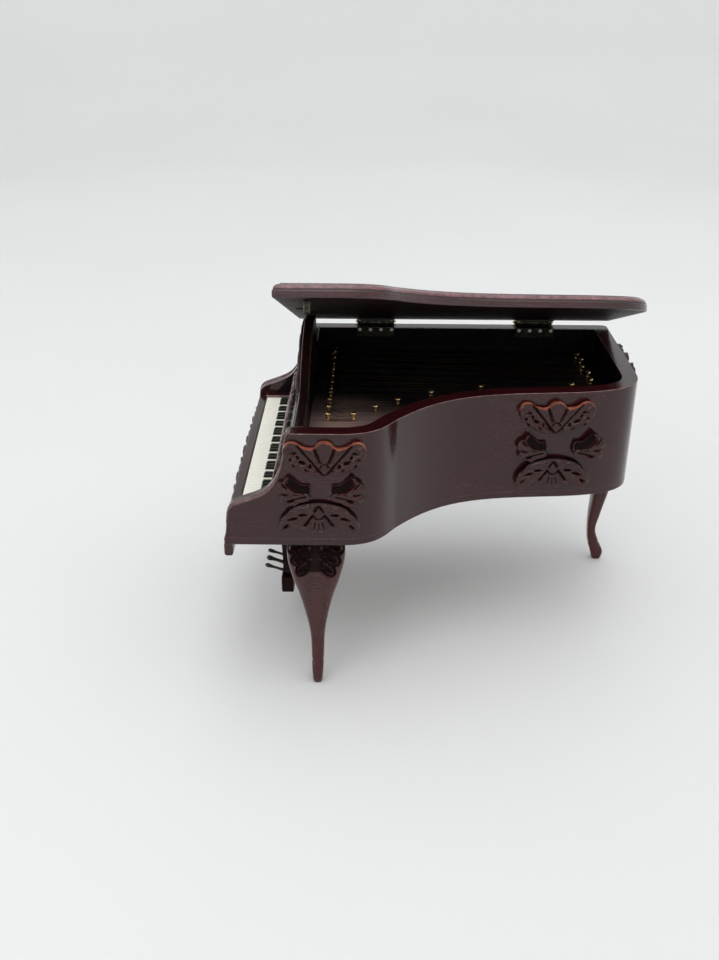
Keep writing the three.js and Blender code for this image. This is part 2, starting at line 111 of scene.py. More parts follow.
def turned_rings(profile, sides, least):
    """Rings of points for (radius, height) pairs turned round Z; no radius is under least."""
    turn = np.linspace(0, 2 * math.pi, sides, endpoint=False)
    around = [(math.cos(a), math.sin(a)) for a in turn]
    return [[(max(r, least) * c, max(r, least) * s, h) for c, s in around] for r, h in profile]


def lathe(profile, sides):
    """A solid turned round Z; ends on the axis are closed."""
    return capped(turned_rings(profile, sides, least=1e-3))


def tube(points, radius, sides=8):
    """A round rod along a line of points."""
    points = np.asarray(points, float)
    ahead = np.gradient(points, axis=0)
    ahead /= np.linalg.norm(ahead, axis=1)[:, None]
    side = np.cross(ahead[0], (0.31, 0.17, 0.93))
    rings = []
    for point, direction in zip(points, ahead):
        side = side - direction * (side @ direction)
        side /= np.linalg.norm(side)
        other = np.cross(direction, side)
        turn = np.linspace(0, 2 * math.pi, sides, endpoint=False)[:, None]
        rings.append(point + radius * (np.cos(turn) * side + np.sin(turn) * other))
    return capped(rings)


def rounded_box(low, high, radius, steps):
    """A block with all its edges and corners rounded."""
    bm = bmesh.new()
    bmesh.ops.create_cube(bm, size=1)
    low, high = np.asarray(low, float), np.asarray(high, float)
    for v in bm.verts:
        v.co = Vector((low + high) / 2 + np.array(v.co) * (high - low))
    bmesh.ops.bevel(bm, geom=bm.edges[:], offset=radius, segments=steps, profile=0.5, affect="EDGES")
    return from_bmesh(bm)


def from_bmesh(bm):
    bm.verts.index_update()
    points = np.array([v.co[:] for v in bm.verts])
    faces = [tuple(v.index for v in f.verts) for f in bm.faces]
    bm.free()
    return points, faces


def bezier(p0, p1, p2, p3, steps):
    t = np.linspace(0, 1, steps)[:, None]
    p0, p1, p2, p3 = (np.array(p, float) for p in (p0, p1, p2, p3))
    return (1 - t) ** 3 * p0 + 3 * (1 - t) ** 2 * t * p1 + 3 * (1 - t) * t * t * p2 + t ** 3 * p3


def closed_curve(points, count):
    """A smooth closed line through a few points."""
    p = np.array(points, float)
    t = np.linspace(0, len(p), count, endpoint=False)
    i = t.astype(int)
    f = (t - i)[:, None]
    a, b, c, d = (p[(i + k) % len(p)] for k in (-1, 0, 1, 2))
    slope, bend, twist = c - a, 2 * a - 5 * b + 4 * c - d, 3 * b - a - 3 * c + d
    return 0.5 * (2 * b + slope * f + bend * f ** 2 + twist * f ** 3)


def smooth_profile(pairs, z):
    """Values at heights z of a smooth line through (value, height) pairs."""
    value, height = np.array(pairs, float).T
    slope = np.gradient(value, height)
    i = np.clip(np.searchsorted(height, z) - 1, 0, len(height) - 2)
    span = height[i + 1] - height[i]
    t = (z - height[i]) / span
    rise = (2 * t ** 3 - 3 * t ** 2 + 1) * value[i] + (3 * t ** 2 - 2 * t ** 3) * value[i + 1]
    return rise + span * ((t ** 3 - 2 * t ** 2 + t) * slope[i] + (t ** 3 - t ** 2) * slope[i + 1])


def add_piece(name, solid, material, body="case", wear_and_painted_light=None, crease=40):
    """A piece that rides on a body, from a solid in metres; the wear and painted light have one value for
    each point: above 0 wear and painted highlight, below 0 painted shade.
    """
    points, faces = solid
    mesh = bpy.data.meshes.new(name)
    mesh.from_pydata(np.asarray(points).tolist(), [], faces)
    bm = bmesh.new()
    bm.from_mesh(mesh)
    bmesh.ops.recalc_face_normals(bm, faces=bm.faces[:])
    bm.to_mesh(mesh)
    bm.free()
    if wear_and_painted_light is not None:
        layer = mesh.attributes.new("wear_and_painted_light", "FLOAT", "POINT")
        layer.data.foreach_set("value", np.asarray(wear_and_painted_light, np.float32))
    return finish_piece(name, mesh, material, body, crease)


def new_object(name, data):
    thing = bpy.data.objects.new(name, data)
    bpy.context.scene.collection.objects.link(thing)
    return thing


def finish_piece(name, mesh, material, body, crease):
    mesh.shade_smooth()
    mesh.set_sharp_from_angle(angle=math.radians(crease))
    kept = [p.material_index for p in mesh.polygons]
    mesh.materials.clear()
    mesh.materials.append(material)
    mesh.polygons.foreach_set("material_index", kept)
    piece = new_object(name, mesh)
    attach(piece, body)
    return piece


def paint_shade_in_cuts(piece, wear_and_light, least=-0.45):
    """Faces deep in a carving, where the value is well below 0, get dull dark wood as painted shade."""
    piece.data.materials.append(CUT_SHADE_AND_LYRE_WOOD)
    for face in piece.data.polygons:
        deep = sum(wear_and_light[v] for v in face.vertices) < least * len(face.vertices)
        face.material_index = int(deep)


def weight_normals(piece):
    normals = piece.modifiers.new("weighted", "WEIGHTED_NORMAL")
    normals.keep_sharp = True


WELD_DISTANCE = 2e-6
FLAT_DEGREES, ARRIS_DEGREES = 0.4, 28
# wear and painted highlight on an arris that doesn't face up and out, as a share of those on one that does
HIDDEN_WEAR_AND_HIGHLIGHT = 0.3


def soften(node, material, radius, wear_and_painted_light, body="case", steps=3, shaded=None):
    """A copy of a CAD node with rounded arrises stands for the node. The arrises are slightly worn and are
    painted lighter as a highlight where they face up and out. Faces that shaded(middle, normal) picks get
    dark, dull wood as painted shade."""
    mesh = frame["nodes"][node].data.copy()
    bm = bmesh.new()
    bm.from_mesh(mesh)
    bmesh.ops.remove_doubles(bm, verts=bm.verts[:], dist=WELD_DISTANCE)
    flat, arris = math.radians(FLAT_DEGREES), math.radians(ARRIS_DEGREES)
    bmesh.ops.dissolve_limit(bm, angle_limit=flat, verts=bm.verts[:], edges=bm.edges[:])
    sharp = [e for e in bm.edges if len(e.link_faces) == 2 and e.calc_face_angle(0) > arris]
    layer = bm.faces.layers.float.new("wear_and_painted_light")
    made = bmesh.ops.bevel(
        bm, geom=sharp, offset=radius * MM, segments=steps, profile=0.5, affect="EDGES", clamp_overlap=True,
    )
    for face in made["faces"]:
        face.normal_update()
        # wear and painted highlight: bevel faces that face up and out, where the overhead light catches
        # them, get all of it
        face[layer] = wear_and_painted_light * (1 if 0.15 < face.normal.z < 0.95 else HIDDEN_WEAR_AND_HIGHLIGHT)
    bmesh.ops.triangulate(bm, faces=[f for f in bm.faces if len(f.verts) > 4])
    bm.normal_update()
    # painted shade: faces that shaded picks take the second material, the dark dull wood
    for face in bm.faces:
        face.material_index = int(bool(shaded) and shaded(face.calc_center_median(), face.normal))
    bm.to_mesh(mesh)
    bm.free()
    if mesh.has_custom_normals:
        mesh.attributes.remove(mesh.attributes["custom_normal"])
    piece = finish_piece(f"{node}_softened", mesh, material, body, 50)
    mesh.materials.append(SHADED_WOOD)
    weight_normals(piece)
    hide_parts(node)


# ---- materials ----

def new_material(name):
    material = bpy.data.materials.new(name)
    material.use_nodes = True
    return material, material.node_tree, material.node_tree.nodes["Principled BSDF"]


def set_sockets(node, values):
    for socket, value in values.items():
        node.inputs[socket].default_value = value


def noise_node(tree, scale, detail=4.0, roughness=0.55, stretch=(1, 1, 1)):
    """Noise on the object's own coordinates; scale counts features per metre."""
    coordinates = tree.nodes.new("ShaderNodeTexCoord")
    mapping = tree.nodes.new("ShaderNodeMapping")
    set_sockets(mapping, {"Scale": stretch})
    texture = tree.nodes.new("ShaderNodeTexNoise")
    set_sockets(texture, {"Scale": scale, "Detail": detail, "Roughness": roughness})
    tree.links.new(coordinates.outputs["Object"], mapping.inputs["Vector"])
    tree.links.new(mapping.outputs["Vector"], texture.inputs["Vector"])
    return texture.outputs["Fac"]


def ramp(tree, value, stops):
    """Colours or greys along a value: (position, colour or grey)."""
    node = tree.nodes.new("ShaderNodeValToRGB")
    elements = node.color_ramp.elements
    while len(elements) < len(stops):
        elements.new(0.5)
    for element, (position, colour) in zip(elements, stops):
        element.position = position
        element.color = (*(colour if isinstance(colour, tuple) else grey(colour)), 1)
    tree.links.new(value, node.inputs["Fac"])
    return node.outputs["Color"]


def grey(level):
    return (level, level, level)


def mix_colour(tree, factor, first, second):
    node = tree.nodes.new("ShaderNodeMix")
    node.data_type = "RGBA"
    for socket, value in (("Factor", factor), ("A", first), ("B", second)):
        inputs = [i for i in node.inputs if i.name == socket and i.enabled]
        if isinstance(value, (tuple, float)):
            inputs[0].default_value = (*value, 1) if isinstance(value, tuple) else value
        else:
            tree.links.new(value, inputs[0])
    return [o for o in node.outputs if o.enabled][0]


def math_node(tree, operation, first, second):
    node = tree.nodes.new("ShaderNodeMath")
    node.operation = operation
    for socket, value in zip(node.inputs, (first, second)):
        if isinstance(value, (int, float)):
            socket.default_value = value
        else:
            tree.links.new(value, socket)
    return node.outputs["Value"]


def wear_and_light_value(tree):
    """The wear and painted light attribute: above 0 is wear to pale wood or bright metal, with a painted
    highlight on arrises that face up and out, 0 is plain and -1 is painted shade in a recess.
    """
    node = tree.nodes.new("ShaderNodeAttribute")
    node.attribute_name = "wear_and_painted_light"
    return node.outputs["Fac"]


def add_bump(tree, shader, heights):
    """Bumps one over another: (height, strength, depth in mm)."""
    previous = None
    for height, strength, depth in heights:
        bump = tree.nodes.new("ShaderNodeBump")
        set_sockets(bump, {"Strength": strength, "Distance": depth * MM})
        tree.links.new(height, bump.inputs["Height"])
        if previous:
            tree.links.new(previous, bump.inputs["Normal"])
        previous = bump.outputs["Normal"]
    tree.links.new(previous, shader.inputs["Normal"])


# painted shade: near-black red laid into recesses and cuts where the wear value is below 0
PAINTED_SHADE_COLOUR = (0.006, 0.0012, 0.0012)


# the default wear colour is pale pink: worn wood, and the painted highlight along the rim's top arris
def mahogany(name, grain=(1, 0.06, 1), dark=(0.020, 0.0032, 0.0046), light=(0.032, 0.0052, 0.0072),
             wear_and_highlight_colour=(0.62, 0.40, 0.36), rough=(0.12, 0.16), peel=0.05, peel_scale=900, gloss=0.36,
             coat=0.22):
    """Red-brown lacquered wood: grain lines along one axis, worn arrises with a painted highlight, painted
    shade in recesses and a lacquer coat.
    """
    material, tree, shader = new_material(name)
    figure = noise_node(tree, 260, 5, 0.6, grain)
    pores = noise_node(tree, 1500, 3, 0.7, grain)
    cloud = noise_node(tree, 45, 3, 0.5)
    base = ramp(tree, figure, [(0.3, dark), (0.72, light)])
    base = mix_colour(tree, ramp(tree, cloud, [(0.35, 0.0), (0.75, 0.55)]),
                      base, (light[0] * 1.25, light[1] * 0.9, light[2] * 0.9))
    base = mix_colour(tree, ramp(tree, pores, [(0.6, 0.0), (0.75, 0.6)]),
                      base, (dark[0] * 0.4, dark[1] * 0.4, dark[2] * 0.4))
    wear_and_painted_light = wear_and_light_value(tree)
    rubbed = noise_node(tree, 420, 5, 0.65)
    patch = ramp(tree, rubbed, [(0.3, 0.15), (0.7, 1.0)])
    # above 0: wear, with painted highlight, lightens the wood in patches
    wear_and_light = math_node(tree, "MAXIMUM", wear_and_painted_light, 0)
    amount = math_node(tree, "MULTIPLY", wear_and_light, patch)
    base = mix_colour(tree, amount, base, wear_and_highlight_colour)
    # below 0: painted shade darkens the wood and dulls its gloss
    negated_value = math_node(tree, "MULTIPLY", wear_and_painted_light, -1)
    painted_shade = math_node(tree, "MAXIMUM", negated_value, 0)
    base = mix_colour(tree, painted_shade, base, PAINTED_SHADE_COLOUR)
    tree.links.new(base, shader.inputs["Base Color"])
    smear = noise_node(tree, 120, 4, 0.6)
    gloss_map = ramp(tree, smear, [(0.3, rough[0]), (0.7, rough[1])])
    tree.links.new(mix_colour(tree, painted_shade, gloss_map, grey(0.75)), shader.inputs["Roughness"])
    set_sockets(shader, {"Coat Weight": coat, "Coat Roughness": 0.1, "Specular IOR Level": gloss})
    lacquer = noise_node(tree, peel_scale, 2, 0.5)
    add_bump(tree, shader, [(pores, 0.25, 0.05), (lacquer, 1.0, peel)])
    return material


ROUGH_SPREAD = 0.12


def plain_gloss(name, low, high, rough, bump, scale, metallic=0.0, coat=0.0, gloss=0.5):
    """A smooth finish whose colour and gloss vary a little."""
    material, tree, shader = new_material(name)
    set_sockets(shader, {"Metallic": metallic, "Specular IOR Level": gloss, "Coat Weight": coat,
                         "Coat Roughness": 0.1})
    stain = noise_node(tree, scale, 5, 0.6)
    tree.links.new(ramp(tree, stain, [(0.3, low), (0.7, high)]), shader.inputs["Base Color"])
    scuff = noise_node(tree, scale * 0.4, 4, 0.6)
    tree.links.new(ramp(tree, scuff, [(0.3, rough), (0.7, rough + ROUGH_SPREAD)]),
              shader.inputs["Roughness"])
    add_bump(tree, shader, [(noise_node(tree, scale * 1.6), 1.0, bump)])
    return material


BRIGHT_ROUGH, TARNISHED_ROUGH = 0.32, 0.52


def aged_metal(name, dull, bright):
    """Dull cast metal that has been rubbed bright along its edges."""
    material, tree, shader = new_material(name)
    set_sockets(shader, {"Metallic": 1})
    tarnish = noise_node(tree, 800, 5, 0.65)
    dark = tuple(c * 0.35 for c in dull)
    base = ramp(tree, tarnish, [(0.3, dark), (0.7, dull)])
    tree.links.new(mix_colour(tree, wear_and_light_value(tree), base, bright), shader.inputs["Base Color"])
    gloss_map = ramp(tree, tarnish, [(0.3, TARNISHED_ROUGH), (0.7, BRIGHT_ROUGH)])
    tree.links.new(gloss_map, shader.inputs["Roughness"])
    add_bump(tree, shader, [(tarnish, 0.8, 0.05)])
    return material


def soundboard_wood():
    """Boards along the piano painted near black as shade, with a painted pool of light in the front treble
    corner that shows them as brown wood.
    """
    material, tree, shader = new_material("soundboard_wood")
    grain = noise_node(tree, 420, 6, 0.65, (1, 0.04, 1))
    # painted shade: near-black boards; painted light: brown wood in a pool of light centred at the front
    # treble corner
    dark = ramp(tree, grain, [(0.3, (0.002, 0.0016, 0.002)), (0.72, (0.008, 0.005, 0.005))])
    lit_corner_colour = ramp(tree, grain, [(0.3, (0.26, 0.15, 0.13)), (0.72, (0.66, 0.48, 0.43))])
    place = tree.nodes.new("ShaderNodeTexCoord")
    distance = tree.nodes.new("ShaderNodeVectorMath")
    distance.operation = "DISTANCE"
    tree.links.new(place.outputs["Object"], distance.inputs[0])
    distance.inputs[1].default_value = at(27, 14, 77)
    reach = math_node(tree, "DIVIDE", distance.outputs["Value"], 40 * MM)
    light_pool = ramp(tree, reach, [(0.2, 1.0), (0.5, 0.3), (0.9, 0.0)])
    tree.links.new(mix_colour(tree, light_pool, dark, lit_corner_colour), shader.inputs["Base Color"])
    tree.links.new(ramp(tree, grain, [(0.3, 0.42), (0.7, 0.6)]), shader.inputs["Roughness"])
    set_sockets(shader, {"Specular IOR Level": 0.2})
    add_bump(tree, shader, [(grain, 0.6, 0.08)])
    return material


MAHOGANY = mahogany("mahogany_along")
MAHOGANY_ACROSS = mahogany("mahogany_across", grain=(0.06, 1, 1))
# the lid's moulded edge: a lighter, glossier copy of the mahogany as painted light, with a pink painted
# highlight as its wear colour
LIT_LID_EDGE_WOOD = mahogany("mahogany_lid", dark=(0.020, 0.0026, 0.0040), light=(0.050, 0.006, 0.009),
                    wear_and_highlight_colour=(0.36, 0.15, 0.16), rough=(0.06, 0.14), peel=0.3, peel_scale=1700,
                    gloss=0.5, coat=0.5)
# painted shade: a near-black copy of the mahogany for the lid's underside
LID_UNDERSIDE_SHADE = mahogany("mahogany_lid_underside_shade", dark=(0.004, 0.001, 0.0012), light=(0.010, 0.002, 0.0022),
                         rough=(0.2, 0.28), peel=0.02, gloss=0.16, coat=0.0)
LEG_WOOD = mahogany("mahogany_leg", grain=(1, 1, 0.06), light=(0.058, 0.0066, 0.0056),
                    wear_and_highlight_colour=(0.3, 0.10, 0.07), rough=(0.12, 0.24), peel=0.07)
CARVED = mahogany("mahogany_carved", grain=(1, 1, 0.2), dark=(0.015, 0.0020, 0.0024),
                  light=(0.036, 0.0044, 0.0050), wear_and_highlight_colour=(0.50, 0.15, 0.085), rough=(0.08, 0.18),
                  peel=0.12, gloss=0.34, coat=0.2)
DARK_WOOD = mahogany("dark_wood", grain=(0.06, 1, 1), dark=(0.006, 0.003, 0.003),
                     light=(0.016, 0.006, 0.005))
# painted shade: near-black, dull wood for the rim's faces inside the well and the back of the music desk
SHADED_WOOD = mahogany("mahogany_shaded", dark=(0.002, 0.0016, 0.002), light=(0.006, 0.003, 0.0035),
                       rough=(0.35, 0.5), gloss=0.16, coat=0.0)
# painted shade: dull dark wood for faces deep in carvings; the lyre is made of it too
CUT_SHADE_AND_LYRE_WOOD = mahogany("mahogany_cut_shade_and_lyre", dark=(0.005, 0.0006, 0.0008), light=(0.014, 0.0015, 0.0016),
                    rough=(0.3, 0.45), gloss=0.12, coat=0.0)
SOUNDBOARD = soundboard_wood()
IVORY = plain_gloss("ivory_paint", (0.96, 0.93, 0.80), (0.985, 0.965, 0.86), 0.25, 0.02, 500, coat=0.2)
BLACK = plain_gloss("black_paint", (0.006, 0.008, 0.007), (0.013, 0.015, 0.013), 0.3, 0.03, 600, gloss=0.15)
BRONZE = aged_metal("aged_bronze", (0.085, 0.080, 0.060), (0.42, 0.39, 0.30))
BRASS = plain_gloss("bright_brass", (0.55, 0.36, 0.13), (0.86, 0.66, 0.36), 0.18, 0.02, 900, metallic=1.0)
WIRE_METAL = plain_gloss("dull_wire", (0.02, 0.014, 0.008), (0.09, 0.06, 0.03), 0.45, 0.02, 900,
                         metallic=1.0)
BRIGHT_NAIL = plain_gloss("nail_heads", (0.72, 0.70, 0.62), (0.92, 0.90, 0.82), 0.25, 0.02, 900,
                          metallic=0.4)


# ---- camera, light and floor ----

def add_camera():
    pitch, yaw, roll = (math.radians(a) for a in (VIEW_PITCH, VIEW_YAW, VIEW_ROLL))
    ahead = Vector((-math.cos(yaw) * math.cos(pitch), math.sin(yaw) * math.cos(pitch), -math.sin(pitch)))
    right = Vector((math.sin(yaw), math.cos(yaw), 0))
    up = right.cross(ahead)
    turned_right = math.cos(roll) * right + math.sin(roll) * up
    turned_up = math.cos(roll) * up - math.sin(roll) * right
    data = bpy.data.cameras.new("camera")
    data.sensor_width = SENSOR_MM
    data.lens = VIEW_FOCAL_PX / PICTURE_HEIGHT_PX * SENSOR_MM
    data.clip_start = 0.005
    data.clip_end = 20
    camera = new_object("camera", data)
    camera.matrix_world = Matrix.Translation(at(*VIEW_FROM)) @ Matrix(
        (turned_right, turned_up, -ahead)).transposed().to_4x4()
    bpy.context.scene.camera = camera


def add_light(name, place, target, size, power, colour=(1, 1, 1)):
    data = bpy.data.lights.new(name, "AREA")
    data.shape = "RECTANGLE"
    data.size, data.size_y = size
    data.energy = power
    data.color = colour
    lamp = new_object(name, data)
    lamp.location = place
    lamp.rotation_euler = (Vector(target) - Vector(place)).to_track_quat("-Z", "Y").to_euler()


# the floor's sweep, as (radius, height) in metres
FLOOR_SWEEP = [(0.0, 0.0), (0.9, 0.0), (1.1, 0.02), (1.3, 0.09), (1.45, 0.22), (1.55, 0.45), (1.6, 0.9),
               (1.6, 1.6)]
FLOOR_SIDES = 96


def add_stage():
    """A pale floor that rises in one smooth sweep behind the piano, all the way round."""
    points = np.array(turned_rings(FLOOR_SWEEP, FLOOR_SIDES, least=1e-4)).reshape(-1, 3)
    mesh = bpy.data.meshes.new("floor")
    mesh.from_pydata(points.tolist(), [], grid_faces(len(FLOOR_SWEEP), FLOOR_SIDES, closed=True))
    mesh.shade_smooth()
    material, tree, shader = new_material("paper")
    tone = noise_node(tree, 3, 2, 0.5)
    tree.links.new(ramp(tree, tone, [(0.3, (0.80, 0.80, 0.79)), (0.7, (0.83, 0.83, 0.82))]),
              shader.inputs["Base Color"])
    set_sockets(shader, {"Roughness": 0.75, "Specular IOR Level": 0.2})
    mesh.materials.append(material)
    new_object("floor", mesh)


def add_lighting():
    world = bpy.data.worlds.new("studio")
    world.use_nodes = True
    set_sockets(world.node_tree.nodes["Background"], {"Color": (0.93, 0.96, 1.0, 1), "Strength": 0.66})
    bpy.context.scene.world = world
    add_light("overhead", (0.1, 0.15, 1.3), (0, 0.05, 0), (2.0, 2.0), 8.2)
    add_light("strip", (0.15, 0.05, 1.2), (0, 0.05, 0), (0.4, 1.4), 2.2)
    add_light("window", (1.0, -0.75, 0.8), (0, 0, 0.05), (0.8, 0.7), 2.6, (1, 0.99, 0.97))
    bpy.context.scene.view_settings.view_transform = "Standard"


# ---- carvings ----

# outlines as (x, z); the fan's is its right half
FAN_HALF = [(3.8, 0.5), (7, 1.6), (9.3, 3.5), (10.9, 5.6), (11.4, 8), (10, 9.9), (8, 9.9), (6, 8.6),
            (3.2, 8.3), (1.8, 9.7)]
FAN_TOP = 10.3
LEAF = [(0, 1.9), (2.4, 2.4), (4.6, 4.3), (6.2, 4.9), (7.3, 3.5), (8.6, 2.9), (9.2, 1.0), (8.3, -0.4),
        (8.7, -2.0), (7.6, -3.6), (6.0, -3.3), (4.6, -4.2), (3.0, -3.2), (0, -2.0)]
# each plate's centre, which its rings shrink towards
FAN_MIDDLE, LEAF_MIDDLE = (0, 5), (4.8, 0.2)
RELIEF_TURNS, RELIEF_RINGS = 220, 40
# the middle value is the carved height below which the carving gets painted shade
PLATE_DEPTH, PAINTED_SHADE_LEVEL, RELIEF_SCALE = 0.85, 1.75, 0.72
LEAST_RELIEF, MOST_RELIEF = 0.2, 2.0
EDGE_ROUND = 0.3


def dome(x, z, middle, tilt, length, width):
    """1 in the middle of a tilted oval, falling to 0 at its edge and outside."""
    c, s = math.cos(math.radians(tilt)), math.sin(math.radians(tilt))
    along = (x - middle[0]) * c + (z - middle[1]) * s
    across = (z - middle[1]) * c - (x - middle[0]) * s
    return np.clip(1 - (along / (length / 2)) ** 2 - (across / (width / 2)) ** 2, 0, 1)


def tallest(x, z, places):
    """The highest of several domes."""
    return np.max([dome(x, z, *place) for place in places], axis=0)


def line_gap(x, z, start, end):
    """Distance from the line between two points."""
    sx, sz = start
    dx, dz = end[0] - sx, end[1] - sz
    t = np.clip(((x - sx) * dx + (z - sz) * dz) / (dx * dx + dz * dz), 0, 1)
    return np.hypot(x - sx - t * dx, z - sz - t * dz)


def groove(gap, width, depth):
    return -depth * np.exp(-(gap / width) ** 2)


def stroke(x, z, start, end, width, depth):
    """A carved stroke, deep in the middle and round at its ends."""
    return -depth * np.clip(1 - (line_gap(x, z, start, end) / width) ** 2, 0, 1) ** 0.7


def gouges(x, z, places, depth):
    """Lens-shaped cuts: (middle, tilt, length, width)."""
    return -depth * sum(dome(x, z, *place) ** 0.6 for place in places)


def ridges(x, z, places, height):
    """The raised outlines of the same lenses."""
    return height * sum(np.exp(-((dome(x, z, *place) - 0.12) / 0.12) ** 2) for place in places)


# ovals in the tables below: (middle, tilt in degrees, length, width)
FAN_LEAVES = [((3.4, 1.5), 28, 3.2, 1.9), ((5.6, 2.7), 32, 3.4, 2.3), ((7.9, 4.2), 42, 3.6, 2.5),
              ((9.9, 7.2), 62, 4.2, 3.0)]
FAN_CUTS = [((8.7, 7.1), 8, 2.6, 0.8), ((6.1, 4.3), 25, 2.2, 0.9), ((4.9, 2.2), 40, 1.6, 0.9),
            ((8.4, 3.4), 60, 1.5, 0.8), ((3.9, 3.2), 75, 1.3, 0.6), ((9.2, 5.2), 100, 1.3, 0.6),
            ((7.2, 5.8), 60, 1.4, 0.5)]


def fan_height(x, z):
    """Relief of the upper fan: a wide V with three flat flutes, and leafy wings."""
    x = np.abs(x)
    height = np.full_like(x, 1.2)
    wing = x * 8.5 > (z + 0.2) * 6.8 + 1
    leaves = tallest(x, z, FAN_LEAVES)
    height += np.where(wing, 0.85 * leaves ** 0.55 - 0.2 * (leaves <= 0.02), 0.3)
    height += np.where(wing, gouges(x, z, FAN_CUTS, 1.1), 0)
    height += stroke(x, z, (0.4, 0.5), (7.3, 9.2), 0.4, 1.0)
    height += stroke(x, z, (1.25, 4.3), (2.7, 8.2), 0.5, 0.9)
    moon = np.hypot(x, z - 2.7)
    height += np.where((z > 2.6) & (moon < 1.7), groove(moon - 1.15, 0.24, 0.75), 0)
    return height


SHELL_CUTS = [((4.5, 4.0), 6, 2.7, 0.95), ((7.3, 5.2), 12, 3.0, 0.95), ((9.3, 7.5), 35, 2.3, 1.1)]
SHELL_LEAVES = [((2.6, 1.6), 20, 3.6, 1.8), ((5.4, 2.4), 25, 3.6, 2.0), ((8.2, 3.9), 40, 3.4, 2.2),
                ((10, 6.4), 65, 3.4, 2.2)]


def shell_height(x, z):
    """Relief of the lower fan: a small chevron, an arc with flutes and three cuts in each wing."""
    x = np.abs(x)
    leaves = tallest(x, z, SHELL_LEAVES)
    scallop = 0.5 * np.abs(np.sin(np.arctan2(z - 1.5, x) * 7.5)) * (np.hypot(x, (z - 1.5) * 1.1) > 8.2)
    height = 1.15 + 0.7 * leaves ** 0.6 - 0.3 * np.exp(-((leaves - 0.04) / 0.05) ** 2) - 0.3 + scallop
    height += gouges(x, z, SHELL_CUTS, 1.1) + ridges(x, z, SHELL_CUTS, 0.25)
    height += stroke(x, z, (0.15, 1.2), (1.2, 2.9), 0.36, 0.8)
    height += stroke(x, z, (1.7, 4.1), (3.9, 7.2), 0.42, 0.85)
    moon = np.hypot(x, z - 4.0)
    height += np.where((z > 4.2) & (moon < 2), groove(moon - 1.35, 0.22, 0.6), 0)
    height += stroke(x, z, (0.95, 6.4), (1.5, 8.3), 0.2, 0.4) + stroke(x, z, (0, 6.6), (0, 8.8), 0.16, 0.3)
    return height


LEAF_CUTS = [((6.9, -0.4), 12, 3.0, 0.75), ((6.9, 2.2), 45, 2.6, 0.7), ((5.2, -2.6), -20, 2.2, 0.6)]
LEAF_LOBES = [((7.6, 1.4), 15, 2.8, 1.8), ((7.3, -1.8), -20, 3.0, 1.9), ((6.1, 3.8), 60, 2.4, 1.8),
              ((4.4, -3.3), -15, 3, 1.4)]


def leaf_height(x, z):
    """Relief of a side leaf: a deep hollow fills its upper inner side and the outer end curls in lobes."""
    height = 1.0 + 0.5 * dome(x, z, (6.9, 0.9), 20, 6.6, 7) ** 0.7
    hollow = np.minimum(line_gap(x, z, (0.2, 1.0), (3.4, 1.5)), line_gap(x, z, (3.4, 1.5), (5.2, 3.2)))
    height -= 1.25 * np.clip(1 - (hollow / 1.5) ** 2, 0, 1) ** 0.6
    height += 0.5 * np.exp(-((hollow - 1.6) / 0.28) ** 2)
    lobes = tallest(x, z, LEAF_LOBES)
    height += gouges(x, z, LEAF_CUTS, 0.85) + 0.4 * lobes ** 0.6
    upper, lower = ((0.6, -0.4), (4.4, -0.6)), ((1.2, -1.2), (6.2, -2.4))
    height += stroke(x, z, *lower, 0.26, 0.6) + stroke(x, z, *upper, 0.2, 0.4)
    return height


def relief(outline, middle, height_at, up, edge_tone):
    """A carved plate: local x and z in the plate, and local -y out of it. Returns the solid and its wear and
    painted
    light: the edge that faces up (z when up is 1, -z when it is -1) follows the edge value, ridges are worn
    and cuts get painted shade below 0."""
    outline, middle = np.asarray(outline, float), np.asarray(middle, float)
    share = np.append(np.linspace(0, 0.965, RELIEF_RINGS + 1)[1:] ** 0.95, (0.975, 0.985, 0.993, 1))
    plan = middle + share[:, None, None] * (outline - middle)
    x, z = plan[..., 0], plan[..., 1]
    reach = np.linalg.norm(outline - middle, axis=1)
    rim = np.clip((1 - share)[:, None] * reach / EDGE_ROUND, 0, 1)
    carved = height_at(x, z) + PLATE_DEPTH
    height = np.clip(carved * RELIEF_SCALE, LEAST_RELIEF, MOST_RELIEF)
    height = height * (0.8 + 0.2 * np.sqrt(rim * (2 - rim)))
    step = 0.22
    around = sum(height_at(x + dx, z + dz) for dx, dz in ((step, 0), (-step, 0), (0, step), (0, -step)))
    ridge = np.clip((carved - PLATE_DEPTH - around / 4) * 1.4 - 0.16, 0, 0.1)
    # painted shade: the deeper the carving lies below that level, the darker it is painted
    painted_shade = np.clip((PAINTED_SHADE_LEVEL - carved) / 0.4, 0, 1)
    ahead = np.roll(outline, -1, axis=0) - np.roll(outline, 1, axis=0)
    # the edge that faces up is worn where the edge value is above 0 and darkened where it is below 0
    upward = np.clip(-ahead[:, 0] / np.linalg.norm(ahead, axis=1) * up * 1.5, 0, 1) * edge_tone
    wear_and_light = np.where(rim < 1, (1 - rim) * upward, ridge - painted_shade * rim)
    top = np.stack([x, -height, z], axis=-1)
    back = np.stack([outline[:, 0], np.zeros(len(outline)), outline[:, 1]], axis=-1)
    solid = capped(np.concatenate([top, back[None]]))
    return solid, np.concatenate([wear_and_light.ravel(), upward])


def turned_area(outline):
    """Twice the area inside a loop: above 0 when it runs counterclockwise."""
    x, z = outline.T
    return np.sum(x * np.roll(z, -1) - np.roll(x, -1) * z)


def counterclockwise(outline):
    return outline if turned_area(outline) > 0 else outline[::-1]


PLATE_THICKNESS = 2


